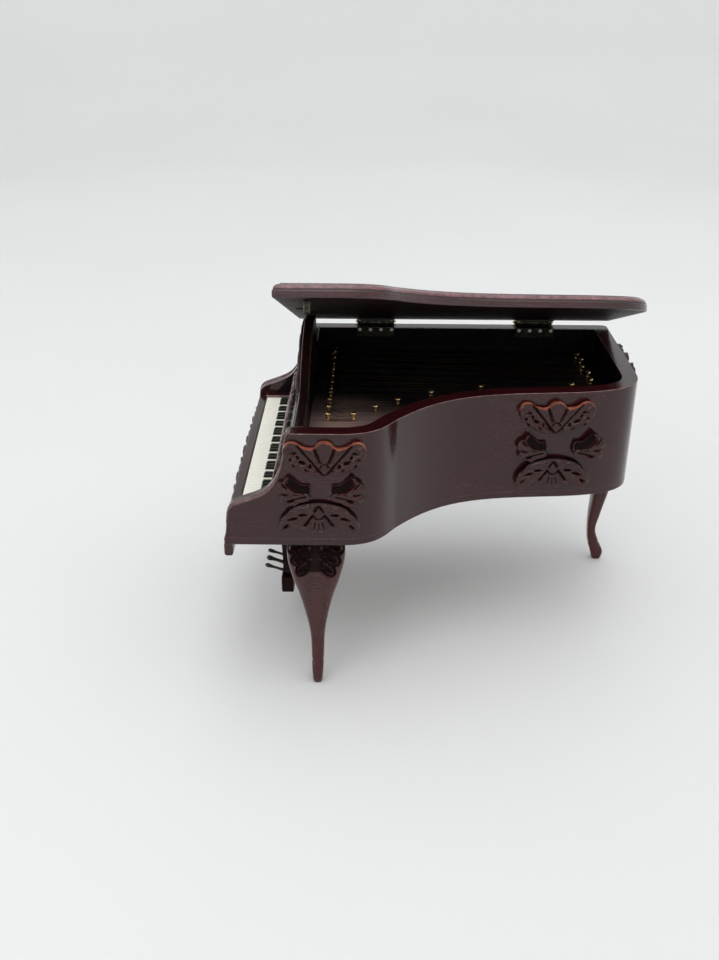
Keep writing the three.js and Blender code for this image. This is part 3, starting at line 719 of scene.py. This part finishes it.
def carving_on(node, outline, middle, height_at, turn, edge_tone, turn_over=False):
    """Puts a relief where a flat CAD plate is, facing the way the plate faces."""
    low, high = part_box(node)
    centre = (Vector(low) + Vector(high)) / 2
    outward = Vector((math.sin(turn), -math.cos(turn), 0))
    outline = counterclockwise(outline)
    solid, wear_and_light = relief(outline, middle, height_at, -1 if turn_over else 1, edge_tone)
    box_middle = (outline.min(axis=0) + outline.max(axis=0)) / 2
    flip = Matrix.Rotation(math.pi if turn_over else 0, 4, "Y")
    back = Matrix.Translation(centre - outward * (PLATE_THICKNESS * MM) / 2)
    place = back @ Matrix.Rotation(turn, 4, "Z") @ flip
    place = place @ FROM_MM @ Matrix.Translation((-box_middle[0], 0, -box_middle[1]))
    piece = add_piece(f"{node}_carved", moved(solid, place), CARVED, wear_and_painted_light=wear_and_light, crease=75)
    paint_shade_in_cuts(piece, wear_and_light)
    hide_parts(node)


# the way each group faces, in degrees round from the front
CARVINGS_FACE = {"treble_front": 90, "treble_rear": 90 + math.degrees(0.06), "bass_front": -90,
                 "bass_rear": -90, "tail": 180}


def make_carvings():
    left = [(-x, z) for x, z in reversed(FAN_HALF)]
    fan = closed_curve([(0, 0), *FAN_HALF, (0, FAN_TOP), *left], RELIEF_TURNS)
    for group, degrees in CARVINGS_FACE.items():
        turn = math.radians(degrees)
        # edge values: the upper fans' top edges are worn at the sides and darkened on the tail; the lower
        # fans' and leaves' are darkened
        top_edge_tone = -0.2 if group == "tail" else 1.0
        carving_on(f"{group}_fan_top", fan, FAN_MIDDLE, fan_height, turn, top_edge_tone)
        carving_on(f"{group}_fan_bottom", fan, FAN_MIDDLE, shell_height, turn, -0.6, turn_over=True)
        for side, name in ((1, "leaf_right"), (-1, "leaf_left")):
            outline = closed_curve([(x * side, z) for x, z in LEAF], RELIEF_TURNS)
            middle = (LEAF_MIDDLE[0] * side, LEAF_MIDDLE[1])
            height_at = lambda x, z, s=side: leaf_height(x * s, z)
            carving_on(f"{group}_{name}", outline, middle, height_at, turn, -0.3)


def strip_height(pitch):
    """Relief of a long strip: overlapping leaves that lean away from the middle."""
    def height(x, z):
        across = np.abs(x)
        cell = (across + 0.35 * z) % pitch - pitch / 2
        leaf = np.clip(1 - (cell / (pitch * 0.46)) ** 2, 0, 1)
        vein = groove(np.abs(cell), 0.3, 0.35)
        return 0.35 + 0.8 * leaf ** 0.7 + vein
    return height


LEAVES_PER_LOBE = 1.5


def strip_carving(node, length, low, high, lobes, matrix):
    """A scalloped strip in (x, z), leafy on its front."""
    count, rows = 420, 14
    x = np.linspace(-length / 2, length / 2, count)
    share = np.linspace(0, 1, count)
    crown = 0.7 + 0.3 * np.cos(math.pi * (share - 0.5))
    top = low + (high - low) * crown * (0.72 + 0.28 * np.abs(np.sin(math.pi * lobes * share)))
    up = np.linspace(0, 1, rows)[:, None]
    grid_x = np.repeat(x[None], rows, axis=0)
    grid_z = low + up * (top - low)
    height_at = strip_height(length / lobes / LEAVES_PER_LOBE)
    edge = np.clip(np.minimum(up, 1 - up) * 8, 0, 1) * np.ones_like(grid_x)
    height = height_at(grid_x, grid_z - low) * (0.3 + 0.7 * np.sqrt(edge * (2 - edge)))
    front = np.stack([grid_x, -height, grid_z], axis=-1)
    back = np.stack([x, np.zeros(count), top], axis=-1)[::-1]
    base = np.stack([x, np.zeros(count), np.full(count, low)], axis=-1)
    points = np.concatenate([front.reshape(-1, 3), base, back[::-1]])
    faces = grid_faces(rows, count)
    first_base, first_back = rows * count, rows * count + count
    last_row = (rows - 1) * count
    for c in range(count - 1):
        faces.append((c, c + 1, first_base + c + 1, first_base + c))
        faces.append((last_row + c, last_row + c + 1, first_back + c + 1, first_back + c))
        faces.append((first_base + c, first_base + c + 1, first_back + c + 1, first_back + c))
    for column in (0, count - 1):
        side = [r * count + column for r in range(rows)]
        faces.append(tuple(side + [first_back + column, first_base + column]))
    # above 0 wear on the leaves' high points, below 0 painted shade in the low parts
    wear_and_light = np.concatenate([np.clip((height - 0.75) * 1.2, -0.7, 0.2).ravel(), np.zeros(2 * count)])
    piece = add_piece(f"{node}_carved", moved((points, faces), matrix), CARVED, wear_and_painted_light=wear_and_light, crease=75)
    paint_shade_in_cuts(piece, wear_and_light, -0.3)
    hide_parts(node)


# each strip's length and lobes, and how far up the fall panel its strip starts and ends
KEYSLIP_STRIP, FALL_STRIP = (80, 9), (76, 11)
FALL_STRIP_LOW, FALL_STRIP_HIGH, FALL_LIP = 0.6, 11.5, 1.4


def make_front_strips():
    low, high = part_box("keyslip_carving")
    matrix = Matrix.Translation((0, high[1], 0)) @ FROM_MM
    length, lobes = KEYSLIP_STRIP
    strip_carving("keyslip_carving", length, low[2] / MM, high[2] / MM, lobes, matrix)
    low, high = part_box("fall_panel")
    lean = math.atan2(high[1] - low[1], (high[2] - low[2]) - FALL_LIP * MM)
    slope = Matrix.Translation((0, low[1], low[2] + FALL_LIP * MM)) @ Matrix.Rotation(-lean, 4, "X")
    length, lobes = FALL_STRIP
    matrix = slope @ Matrix.Translation((0, -0.3 * MM, 0)) @ FROM_MM
    strip_carving("fall_carving", length, FALL_STRIP_LOW, FALL_STRIP_HIGH, lobes, matrix)


# ---- lid ----

LID_FRONT, LID_REAR_INSET, LID_OVERHANG = 15, 94.9, 1
LID_LOW = 0.55
CASE_LENGTH = 122.4
# round the moulded edge: how far in from the lid's outline, how far up from its underside, and the painted
# light: above 0 a painted highlight on the upper rounds, below 0 painted shade in the two grooves and under
# the lower arris
LID_MOULDING = [(0.5, 0, -0.5), (0.15, 0.08, -0.5), (0, 0.35, -0.2), (0, 0.6, 0), (0, 1.6, 0),
                (0.06, 1.95, 0), (0.2, 2.1, -1), (0.3, 2.25, -1), (0.24, 2.4, 0.2), (0.3, 2.7, 0.6),
                (0.55, 3.1, 0.7), (0.9, 3.42, 0.7), (1.3, 3.62, 0.5), (1.6, 3.7, -1), (1.8, 3.68, -1),
                (1.9, 3.86, 0.8), (2.1, 3.98, 0.6), (2.5, 4, 0)]


def lid_path():
    """The lid's outline before its overhang, from the front of the treble side round the tail."""
    curves = [
        bezier((32.2, 0), (43.7, 0), (45.5, 7), (48.5, 10.8), 16),
        bezier((48.5, 10.8), (61.6, 27.4), (72.9, 29.7), (94.9, 31.1), 24)[1:],
        bezier((94.9, 31.1), (113.4, 32.3), (CASE_LENGTH, 35.9), (CASE_LENGTH, 47.4), 18)[1:],
    ]
    rear = LID_REAR_INSET - LID_OVERHANG
    return np.vstack([[(LID_FRONT, 0)], *curves, [(CASE_LENGTH, rear)], [(LID_FRONT, rear)]])


def offset_loop(points, distance):
    """A closed loop moved sideways, with mitred corners."""
    before = points - np.roll(points, 1, axis=0)
    after = np.roll(points, -1, axis=0) - points
    normals = []
    for step in (before, after):
        unit = step / np.linalg.norm(step, axis=1)[:, None]
        normals.append(np.column_stack([unit[:, 1], -unit[:, 0]]))
    middle = normals[0] + normals[1]
    middle /= np.linalg.norm(middle, axis=1)[:, None]
    return points + middle * (distance / np.sum(middle * normals[1], axis=1))[:, None]


def make_lid():
    """The lid, with a moulded edge all round, turned up about its hinges."""
    path = lid_path()
    sign = 1 if turned_area(path) > 0 else -1
    rings = []
    for inset, up, _ in LID_MOULDING:
        loop = offset_loop(path, sign * (LID_OVERHANG - inset))
        loop[[0, -1], 0] = LID_FRONT + inset
        rings.append([at(along, across, LID_HINGE.z / MM + LID_LOW + up) for along, across in loop])
    points, faces = capped(rings)
    tilt = Matrix.Rotation(-LID_TILT, 4, "Y")
    turn = Matrix.Translation(LID_HINGE) @ tilt @ Matrix.Translation(-LID_HINGE)
    # painted highlight and painted shade, ring by ring, from the moulding table
    wear_and_light = np.repeat([wear_and_painted_light for *_, wear_and_painted_light in LID_MOULDING], len(path))
    piece = add_piece("lid_moulded", moved((points, faces), turn), LIT_LID_EDGE_WOOD, "lid", wear_and_painted_light=wear_and_light, crease=38)
    piece.data.materials.append(LID_UNDERSIDE_SHADE)
    piece.data.materials.append(MAHOGANY)
    # the underside gets the painted shade copy, the top plain mahogany, and the edge the lighter copy
    for face in piece.data.polygons:
        face.material_index = 2 if under_lid(-face.normal) else int(under_lid(face.normal))
    weight_normals(piece)
    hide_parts("lid")


# ---- legs ----

LEG_HEIGHT = 50.5
# the leg's half width, front and back as (distance, height)
LEG_HALF_WIDTHS = [(1.4, 0), (1.8, 6), (1.95, 12), (2.4, 18), (3.4, 24), (5, 31), (7.2, 38), (8.4, 43),
                   (8.2, 50.5)]
LEG_FRONT = [(4.6, 0), (5.1, 3), (3.4, 7), (1.6, 12), (2.5, 19), (4.4, 30), (5.5, 38), (4.7, 45),
             (2.4, 50.5)]
LEG_BACK = [(1.4, 0), (0.6, 3), (-0.7, 7), (-1.5, 14), (-1.4, 28), (-2.4, 36), (-4.2, 43), (-5, 50.5)]
KNEE_LOBES = [((5.0, 47.9), -32, 6.4, 2.3), ((4.4, 44.5), -42, 5.6, 2.1), ((3.5, 41.3), -52, 5.0, 1.9)]


def knee_height(s, z):
    """Acanthus on the knee: a sunk, veined stem, three pairs of drooping lobes and a stippled tip."""
    s = np.abs(s)
    lobes = tallest(s, z, KNEE_LOBES)
    ground = tallest(s, z, [(m, t, l * 1.35, w * 2.1) for m, t, l, w in KNEE_LOBES])
    outline = np.exp(-((lobes - 0.12) / 0.10) ** 2) * (lobes > 0)
    pocket = np.clip((lobes - 0.3) * 3, 0, 1)
    carved = -0.7 * np.clip(ground * 4, 0, 1) * (lobes < 0.01) + 0.5 * outline - 0.8 * pocket
    stem = np.clip(dome(s, z, (0, 44.5), 90, 15, 3.4) * 3, 0, 1)
    veins = -0.62 + 0.42 * np.abs(np.cos(s * math.pi / 0.62))
    tip = np.clip(dome(s, z, (0, 37.4), 90, 9, 6.4) * 4, 0, 1)
    spread = np.arctan2(s, 45 - z)
    stipple = (0.2 * np.sin(spread * 60) * np.sin(z * 6.5) - 0.1) * tip
    return carved * (1 - stem) + veins * stem + stipple * (1 - np.clip(ground * 4, 0, 1)) * (1 - stem)


def leg_solid(carved):
    """A cabriole leg that faces +X with its ankle on the Z axis, and the wear and painted shade on it."""
    z = np.linspace(0, LEG_HEIGHT, 190)
    turn = np.linspace(0, 2 * math.pi, 128, endpoint=False)
    half, front, back = (smooth_profile(p, z)[:, None] for p in (LEG_HALF_WIDTHS, LEG_FRONT, LEG_BACK))
    squareness = 2 / (3.6 - 1.0 * np.clip((z - 30) / 20, 0, 1))[:, None]
    ahead = np.sign(np.cos(turn)) * np.abs(np.cos(turn)) ** squareness
    aside = np.sign(np.sin(turn)) * np.abs(np.sin(turn)) ** squareness
    sole = 1 - 0.18 * np.exp(-z / 0.5)[:, None]
    x = (front + back) / 2 + (front - back) / 2 * ahead * sole
    y = half * aside * sole
    height = np.repeat(z[:, None], len(turn), axis=1)
    facing = np.clip(np.cos(turn) * 4 - 0.2, 0, 1)
    relief_depth = knee_height(y, height) * facing if carved else np.zeros_like(x)
    x = x + relief_depth
    band = np.exp(-((z - 7.2) / 0.5) ** 2)[:, None]
    x, y = x - 0.18 * band * ahead, y - 0.18 * band * aside
    # painted shade below 0 in the knee's cuts; wear above 0 on its high points and arrises
    wear_and_light = np.clip(relief_depth * 1.9, -1, 0.22)
    arris = np.exp(-((np.abs(aside) * np.abs(ahead) - 0.78) / 0.1) ** 2) * 0.25
    wear_and_light = np.where(wear_and_light < -0.1, wear_and_light, np.maximum(wear_and_light, arris))
    return capped(np.stack([x, y, height], axis=-1)), wear_and_light.ravel()


def make_legs():
    z = np.linspace(0, LEG_HEIGHT, 60)
    front_reach, back_reach = smooth_profile(LEG_FRONT, z).max(), smooth_profile(LEG_BACK, z).min()
    solid, wear_and_light = leg_solid(carved=True)
    for node, degrees in (("leg_treble", 0), ("leg_bass", 180), ("leg_tail", 90)):
        low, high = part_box(node)
        turn = Matrix.Rotation(math.radians(degrees), 4, "Z")
        middle = turn @ Vector(((front_reach + back_reach) / 2 * MM, 0, 0))
        foot = Vector(((low.x + high.x) / 2 - middle.x, (low.y + high.y) / 2 - middle.y, 0))
        place = Matrix.Translation(foot) @ turn @ FROM_MM
        piece = add_piece(f"{node}_carved", moved(solid, place), LEG_WOOD, wear_and_painted_light=wear_and_light, crease=60)
        paint_shade_in_cuts(piece, wear_and_light)
        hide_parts(node)


# ---- keyboard ----

WHITE_KEYS, WHITE_PITCH, BASS_KEY_INSET = 43, 1.83, 87
KEY_FRONT, KEY_BACK, KEY_TOP, KEY_BED = 3.8, 19.4, 60, 55.6
BLACK_FRONT, BLACK_BACK, BLACK_WIDTH, BLACK_RISE, BLACK_SHIFT = 8.5, 19.4, 1.2, 0.75, 1.2
BLACK_JOINTS = (0, 2, 3, 4, 6)
# the spray on the music desk follows its crest: x across the piano and z up
DESK_SPRAY = [(19, 85.4), (14, 87.7), (8.5, 90.9), (1, 94.5), (-7, 96.5), (-14, 96.4), (-20, 95.3),
              (-22, 91), (-23, 86.6), (-14, 86), (-5, 85.9), (8, 85.6)]
DESK_LEAVES = [((13, 87.1), -27, 9, 2.6), ((5.5, 89.9), -27, 9, 4.2), ((-3, 92.4), -20, 9, 5.6),
               ((-11.5, 92.6), 0, 8.5, 6.4), ((-18.5, 91.6), 30, 6.5, 5.6), ((1, 87.4), -6, 9, 2.4),
               ((-8, 87.6), 0, 8, 2.4), ((-17, 87.6), 4, 8, 2.2)]
DESK_MIDDLE = (-8, 90.5)


def from_front_left(solid):
    """A solid drawn with x to the treble, y back from the front and z up, in the piano's frame."""
    return moved(solid, Matrix.Translation(at(0, 0, 0)) @ FROM_MM)


def make_keys():
    whites, blacks = [], []
    for key in range(WHITE_KEYS):
        x = key * WHITE_PITCH - BASS_KEY_INSET
        sag = 0.05 * noise.noise(Vector((key * 1.7, 0, 0)))
        low, high = (x + 0.01, KEY_FRONT, KEY_BED), (x + WHITE_PITCH - 0.01, KEY_BACK, KEY_TOP + sag)
        whites.append(rounded_box(low, high, 0.09, 2))
        if key and key % 7 in BLACK_JOINTS:
            x -= BLACK_SHIFT
            low = (x - BLACK_WIDTH / 2, BLACK_FRONT, KEY_TOP - 0.3)
            high = (x + BLACK_WIDTH / 2, BLACK_BACK, KEY_TOP + BLACK_RISE)
            points, faces = rounded_box(low, high, 0.12, 2)
            raised = points[:, 2] > KEY_TOP + 0.25
            points[raised, 1] += 0.5 * (points[raised, 1] < BLACK_FRONT + 1)
            points[raised, 0] = x + (points[raised, 0] - x) * 0.86
            blacks.append((points, faces))
    rows = (("white_keys", whites, IVORY, "ivory"), ("black_keys", blacks, BLACK, "black"))
    for name, solids, material, slot in rows:
        piece = add_piece(f"{name}_detailed", from_front_left(join(solids)), material, crease=50)
        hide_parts(name)


BEAD_RADIUS, BEAD_SINK, BEAD_WEAR = 0.34, 0.13, 0.28
BEAD_INSETS = (0.3, 1.15, 2.0, 94.7, 93.85, 93.0)


def arm_curve():
    """The swept top edge of a keyboard arm, as (along, z)."""
    return np.vstack([
        bezier((0.55, 57.5), (0.7, 58.8), (0.8, 59.9), (0.9, 60.9), 5)[:-1],
        bezier((0.9, 60.9), (1.1, 62.0), (2.0, 62.9), (3.6, 63.4), 7)[:-1],
        bezier((3.6, 63.4), (6.5, 64.6), (9.6, 65.3), (12.2, 67.4), 12)[:-1],
        bezier((12.2, 67.4), (16, 71.2), (17, 77.5), (17.6, 84), 16)[:-1],
        bezier((17.6, 84), (17.7, 84.6), (18.2, 85), (19, 85), 6),
    ])


def desk_height(x, z):
    """Relief on the desk: overlapping leaves."""
    leaves = tallest(x, z, DESK_LEAVES)
    return 0.55 + 0.55 * leaves ** 0.55 - 0.35 * np.exp(-((leaves - 0.03) / 0.03) ** 2)


def make_desk_spray():
    outline = counterclockwise(closed_curve(DESK_SPRAY, RELIEF_TURNS))
    solid, wear_and_light = relief(outline, DESK_MIDDLE, desk_height, 1, -0.2)
    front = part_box("music_desk")[0].y
    place = Matrix.Translation((0, front + 0.1 * MM, 0)) @ FROM_MM
    piece = add_piece("desk_spray", moved(solid, place), CARVED, wear_and_painted_light=wear_and_light, crease=60)
    paint_shade_in_cuts(piece, wear_and_light)


def make_arm_beads():
    """Three fine beads run along the outer edge of each arm's sweep."""
    curve = arm_curve()
    beads = []
    for inset in BEAD_INSETS:
        points = np.column_stack([np.full(len(curve), -inset), curve + (BEAD_SINK, -BEAD_SINK)])
        beads.append(tube(points, BEAD_RADIUS))
    points, faces = from_front_left(join(beads))
    wear_and_light = np.full(len(points), BEAD_WEAR)
    add_piece("arm_beads", (points, faces), MAHOGANY, wear_and_painted_light=wear_and_light)


# ---- metalwork ----

NAIL_HEAD = [(0.2, -0.4), (0.75, 0), (0.8, 0.12), (0.62, 0.34), (0.3, 0.47), (0, 0.5)]
HINGE_LENGTH, HINGE_NAIL = 13, 0.62


def dome_nails(places, radius):
    """Round nail heads at (matrix) places, standing up along each local Z."""
    widest = max(r for r, _ in NAIL_HEAD)
    profile = [(r / widest * radius, h / widest * radius) for r, h in NAIL_HEAD]
    return join([moved(lathe(profile, 16), place) for place in places])


def hinge_nails(name, node, body, turn, local_places):
    middle = sum(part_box(node), Vector()) / 2
    frame_at = Matrix.Translation((LID_HINGE.x, middle.y, LID_HINGE.z)) @ turn @ FROM_MM
    places = [frame_at @ place for place in local_places]
    add_piece(name, dome_nails(places, HINGE_NAIL), BRIGHT_NAIL, body=body)


def make_hinges():
    lid_turn = Matrix.Rotation(-LID_TILT, 4, "Y")
    across = np.linspace(-0.42, 0.42, 4) * HINGE_LENGTH
    facing_in = Matrix.Rotation(math.pi / 2, 4, "Y")
    facing_down = Matrix.Rotation(math.pi, 4, "X")
    for name in ("front_hinge", "rear_hinge"):
        for body in ("case", "lid"):
            soften(f"{name}_{body}_leaf", BRONZE, 0.12, 0.8, body, steps=2)
        lip_nails = [Matrix.Translation((6.15, y, -1.1)) @ facing_in for y in across]
        hinge_nails(f"{name}_case_nails", f"{name}_case_leaf", "case", Matrix(), lip_nails)
        leaf_nails = [Matrix.Translation((4.0, y, 0.12)) @ facing_down for y in across[::3]]
        hinge_nails(f"{name}_lid_nails", f"{name}_lid_leaf", "lid", lid_turn, leaf_nails)
        pin_low, pin_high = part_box(f"{name}_pin")
        length = (pin_high.y - pin_low.y) / MM
        profile = [(0.3, -0.12), (0.45, 0), (0.45, length), (0.3, length + 0.12)]
        middle = (pin_low + pin_high) / 2
        place = Matrix.Translation((middle.x, pin_high.y, middle.z))
        pin = moved(lathe(profile, 20), place @ Matrix.Rotation(math.pi / 2, 4, "X") @ FROM_MM)
        piece = add_piece(f"{name}_pin_turned", pin, BRASS)
        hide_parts(f"{name}_pin")


def make_catch():
    soften("lid_catch", BRONZE, 0.3, 0.4, "lid")
    low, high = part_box("lid_catch")
    middle = (low + high) / 2
    start = Vector((middle.x, low.y, middle.z - 0.6 * MM))
    points = [start + Vector((0, -d * MM, 0)) for d in (-0.5, 0.5, 1.5, 2.1)]
    add_piece("lid_catch_pin", tube(points, 0.25 * MM), BRONZE, body="lid")


PEDAL_RISE = 19
PEDAL_PROFILE = [(0.1, -0.3), (0.46, -0.28), (0.5, 0.2), (0.44, 1.2), (0.42, 2.4), (0.5, 3.4), (0.62, 4.2),
                 (0.7, 4.8), (0.66, 5.3), (0.5, 5.65), (0.25, 5.85), (0.05, 5.9)]


def make_pedals():
    for node, girth in (("pedal_left", 1), ("pedal_middle", 1.25), ("pedal_right", 1)):
        low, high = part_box(node)
        root = Vector(((low.x + high.x) / 2, high.y - 0.2 * MM, low.z + 0.62 * girth * MM))
        profile = [(r * girth, h) for r, h in PEDAL_PROFILE]
        lean = Matrix.Rotation(math.radians(90 - PEDAL_RISE), 4, "X")
        place = Matrix.Translation(root) @ lean @ FROM_MM
        piece = add_piece(f"{node}_turned", moved(lathe(profile, 24), place), BRONZE)
        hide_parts(node)


# ---- strings ----

TUNING_ALONG, FIRST_TUNING_INSET, TUNING_PITCH = 28.1, 27, 5.7
# the far nails, as (along, inset)
HITCH_PLACES = [(35.7, 27.2), (42.1, 33), (48.9, 38.6), (59.2, 44.8), (75, 49.9), (103.7, 52.1),
                (110.5, 56.2), (110.8, 62.4), (109.8, 68), (110.7, 75.1), (110.1, 80)]
STRING_Z, SOUNDBOARD_Z, NAIL_TOP = 78.4, 77, 79.4
THIN_WIRE, BRIGHT_WIRE = 0.045, 0.11
# each pair of wires, as (sideways, down); the spare wires lie below the first pair
WIRE_PAIR, SPARE_DROPS = ((0.5, 0), (-0.5, 0.35)), (0.5, 0.95, 1.3)
LOOP_RADIUS = 0.5
NAIL_STEM, NAIL_DOME = 0.32, [(0.95, 0.1), (0.98, 0.3), (0.85, 0.48), (0.6, 0.62), (0.3, 0.7), (0, 0.72)]


def wire_line(start, end, z, sag=0.05):
    share = np.linspace(0, 1, 6)[:, None]
    line = np.array(start) * (1 - share) + np.array(end) * share
    return np.column_stack([-line[:, 1], line[:, 0], z - sag * np.sin(math.pi * share[:, 0])])


def wire_loop(place, z, turns, rise):
    """Turns of wire wound round a nail."""
    angle = np.linspace(0, 2 * math.pi * turns, int(16 * turns))
    height = z - rise / 2 + rise * angle / angle[-1]
    across, along = LOOP_RADIUS * np.cos(angle), LOOP_RADIUS * np.sin(angle)
    return np.column_stack([-place[1] + across, place[0] + along, height])


def make_strings():
    """Two rows of nails with one wire led to and fro; the spare wire is wound on the first pair."""
    thin, bright, nails = [], [], []
    stem = [(NAIL_STEM, 0), (NAIL_STEM, NAIL_TOP - SOUNDBOARD_Z)]
    profile = stem + [(r, NAIL_TOP - SOUNDBOARD_Z + h) for r, h in NAIL_DOME]
    tuning_places = [(TUNING_ALONG, FIRST_TUNING_INSET + i * TUNING_PITCH) for i in range(len(HITCH_PLACES))]
    for i, (tuning, hitch) in enumerate(zip(tuning_places, HITCH_PLACES)):
        turns, rise = (5, 1.6) if i == 0 else (1.5, 0.35)
        wires, girth = (bright, BRIGHT_WIRE) if i == 0 else (thin, THIN_WIRE)
        for place in (tuning, hitch):
            nails.append(moved(lathe(profile, 18), Matrix.Translation((-place[1], place[0], SOUNDBOARD_Z))))
            bright.append(tube(wire_loop(place, STRING_Z, turns, rise), BRIGHT_WIRE, 6))
        for shift, drop in WIRE_PAIR:
            line = wire_line((tuning[0], tuning[1] + shift), (hitch[0], hitch[1] + shift), STRING_Z - drop)
            wires.append(tube(line, girth, 6))
    for drop in SPARE_DROPS:
        line = wire_line(tuning_places[0], HITCH_PLACES[0], STRING_Z - drop, 0.2)
        bright.append(tube(line, BRIGHT_WIRE, 6))
    bright.append(tube(wire_line(tuning_places[1], HITCH_PLACES[0], STRING_Z + 0.2), BRIGHT_WIRE, 6))
    rows = (("strings", thin, WIRE_METAL), ("wound_wire", bright, BRASS), ("nails", nails, BRASS))
    for name, solids, material in rows:
        piece = add_piece(name, from_front_left(join(solids)), material)
        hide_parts("strings_and_nails")


# ---- the whole piano ----

WELL_CENTRE_X, WELL_CENTRE_Y, WELL_FRONT = -0.012, 0.01, 19.5


# the rim faces that this picks get painted shade
def inside_well(middle, normal):
    """Whether a face of the rim looks into the well, and not up or out."""
    to_centre = Vector((WELL_CENTRE_X, WELL_CENTRE_Y, middle.z)) - middle
    behind_keys = middle.y > FRONT_Y + WELL_FRONT * MM
    return abs(normal.z) < 0.3 and normal.dot(to_centre) > 0 and behind_keys


def under_lid(normal):
    """Whether a face looks straight out of the lid's underside."""
    return normal.dot(Vector((math.sin(LID_TILT), 0, -math.cos(LID_TILT)))) > 0.98


# picks the back of the music desk, which faces the well, for painted shade
def facing_well(_middle, normal):
    return normal.y > 0.9


# node: material, edge radius, wear and painted highlight on the edges, record slot, faces painted with shade
SOFTENED = {
    # painted highlight: the rim's outer top arris is painted pale along its whole length
    "rim_case": (MAHOGANY, 0.3, 1.0, "mahogany", inside_well),
    "bottom_board": (MAHOGANY, 0.15, 0.1, "mahogany", None),
    "front_rail": (MAHOGANY_ACROSS, 0.3, 0.1, "mahogany", None),
    "keyslip": (MAHOGANY_ACROSS, 0.25, 0.3, "mahogany", None),
    "fall_panel": (MAHOGANY_ACROSS, 0.3, 0.0, "mahogany", None),
    "music_desk": (DARK_WOOD, 0.35, 0.1, "mahogany", facing_well),
    "key_block_bass": (MAHOGANY, 0.3, 0.8, "mahogany", None),
    "key_block_treble": (MAHOGANY, 0.3, 0.8, "mahogany", None),
    "lyre_board": (CUT_SHADE_AND_LYRE_WOOD, 0.45, 0.0, "mahogany", None),
    "lyre_base": (CUT_SHADE_AND_LYRE_WOOD, 0.5, 0.0, "mahogany", None),
    "key_bed": (DARK_WOOD, 0.2, 0.0, "dark_wood", None),
    "soundboard": (SOUNDBOARD, 0.1, 0.0, "dark_wood", None),
}

add_camera()
add_stage()
add_lighting()
for node, (material, radius, wear_and_painted_light, slot, shaded) in SOFTENED.items():
    soften(node, material, radius, wear_and_painted_light, shaded=shaded)
make_lid()
make_carvings()
make_front_strips()
make_legs()
make_keys()
make_arm_beads()
make_desk_spray()
make_hinges()
make_catch()
make_pedals()
make_strings()
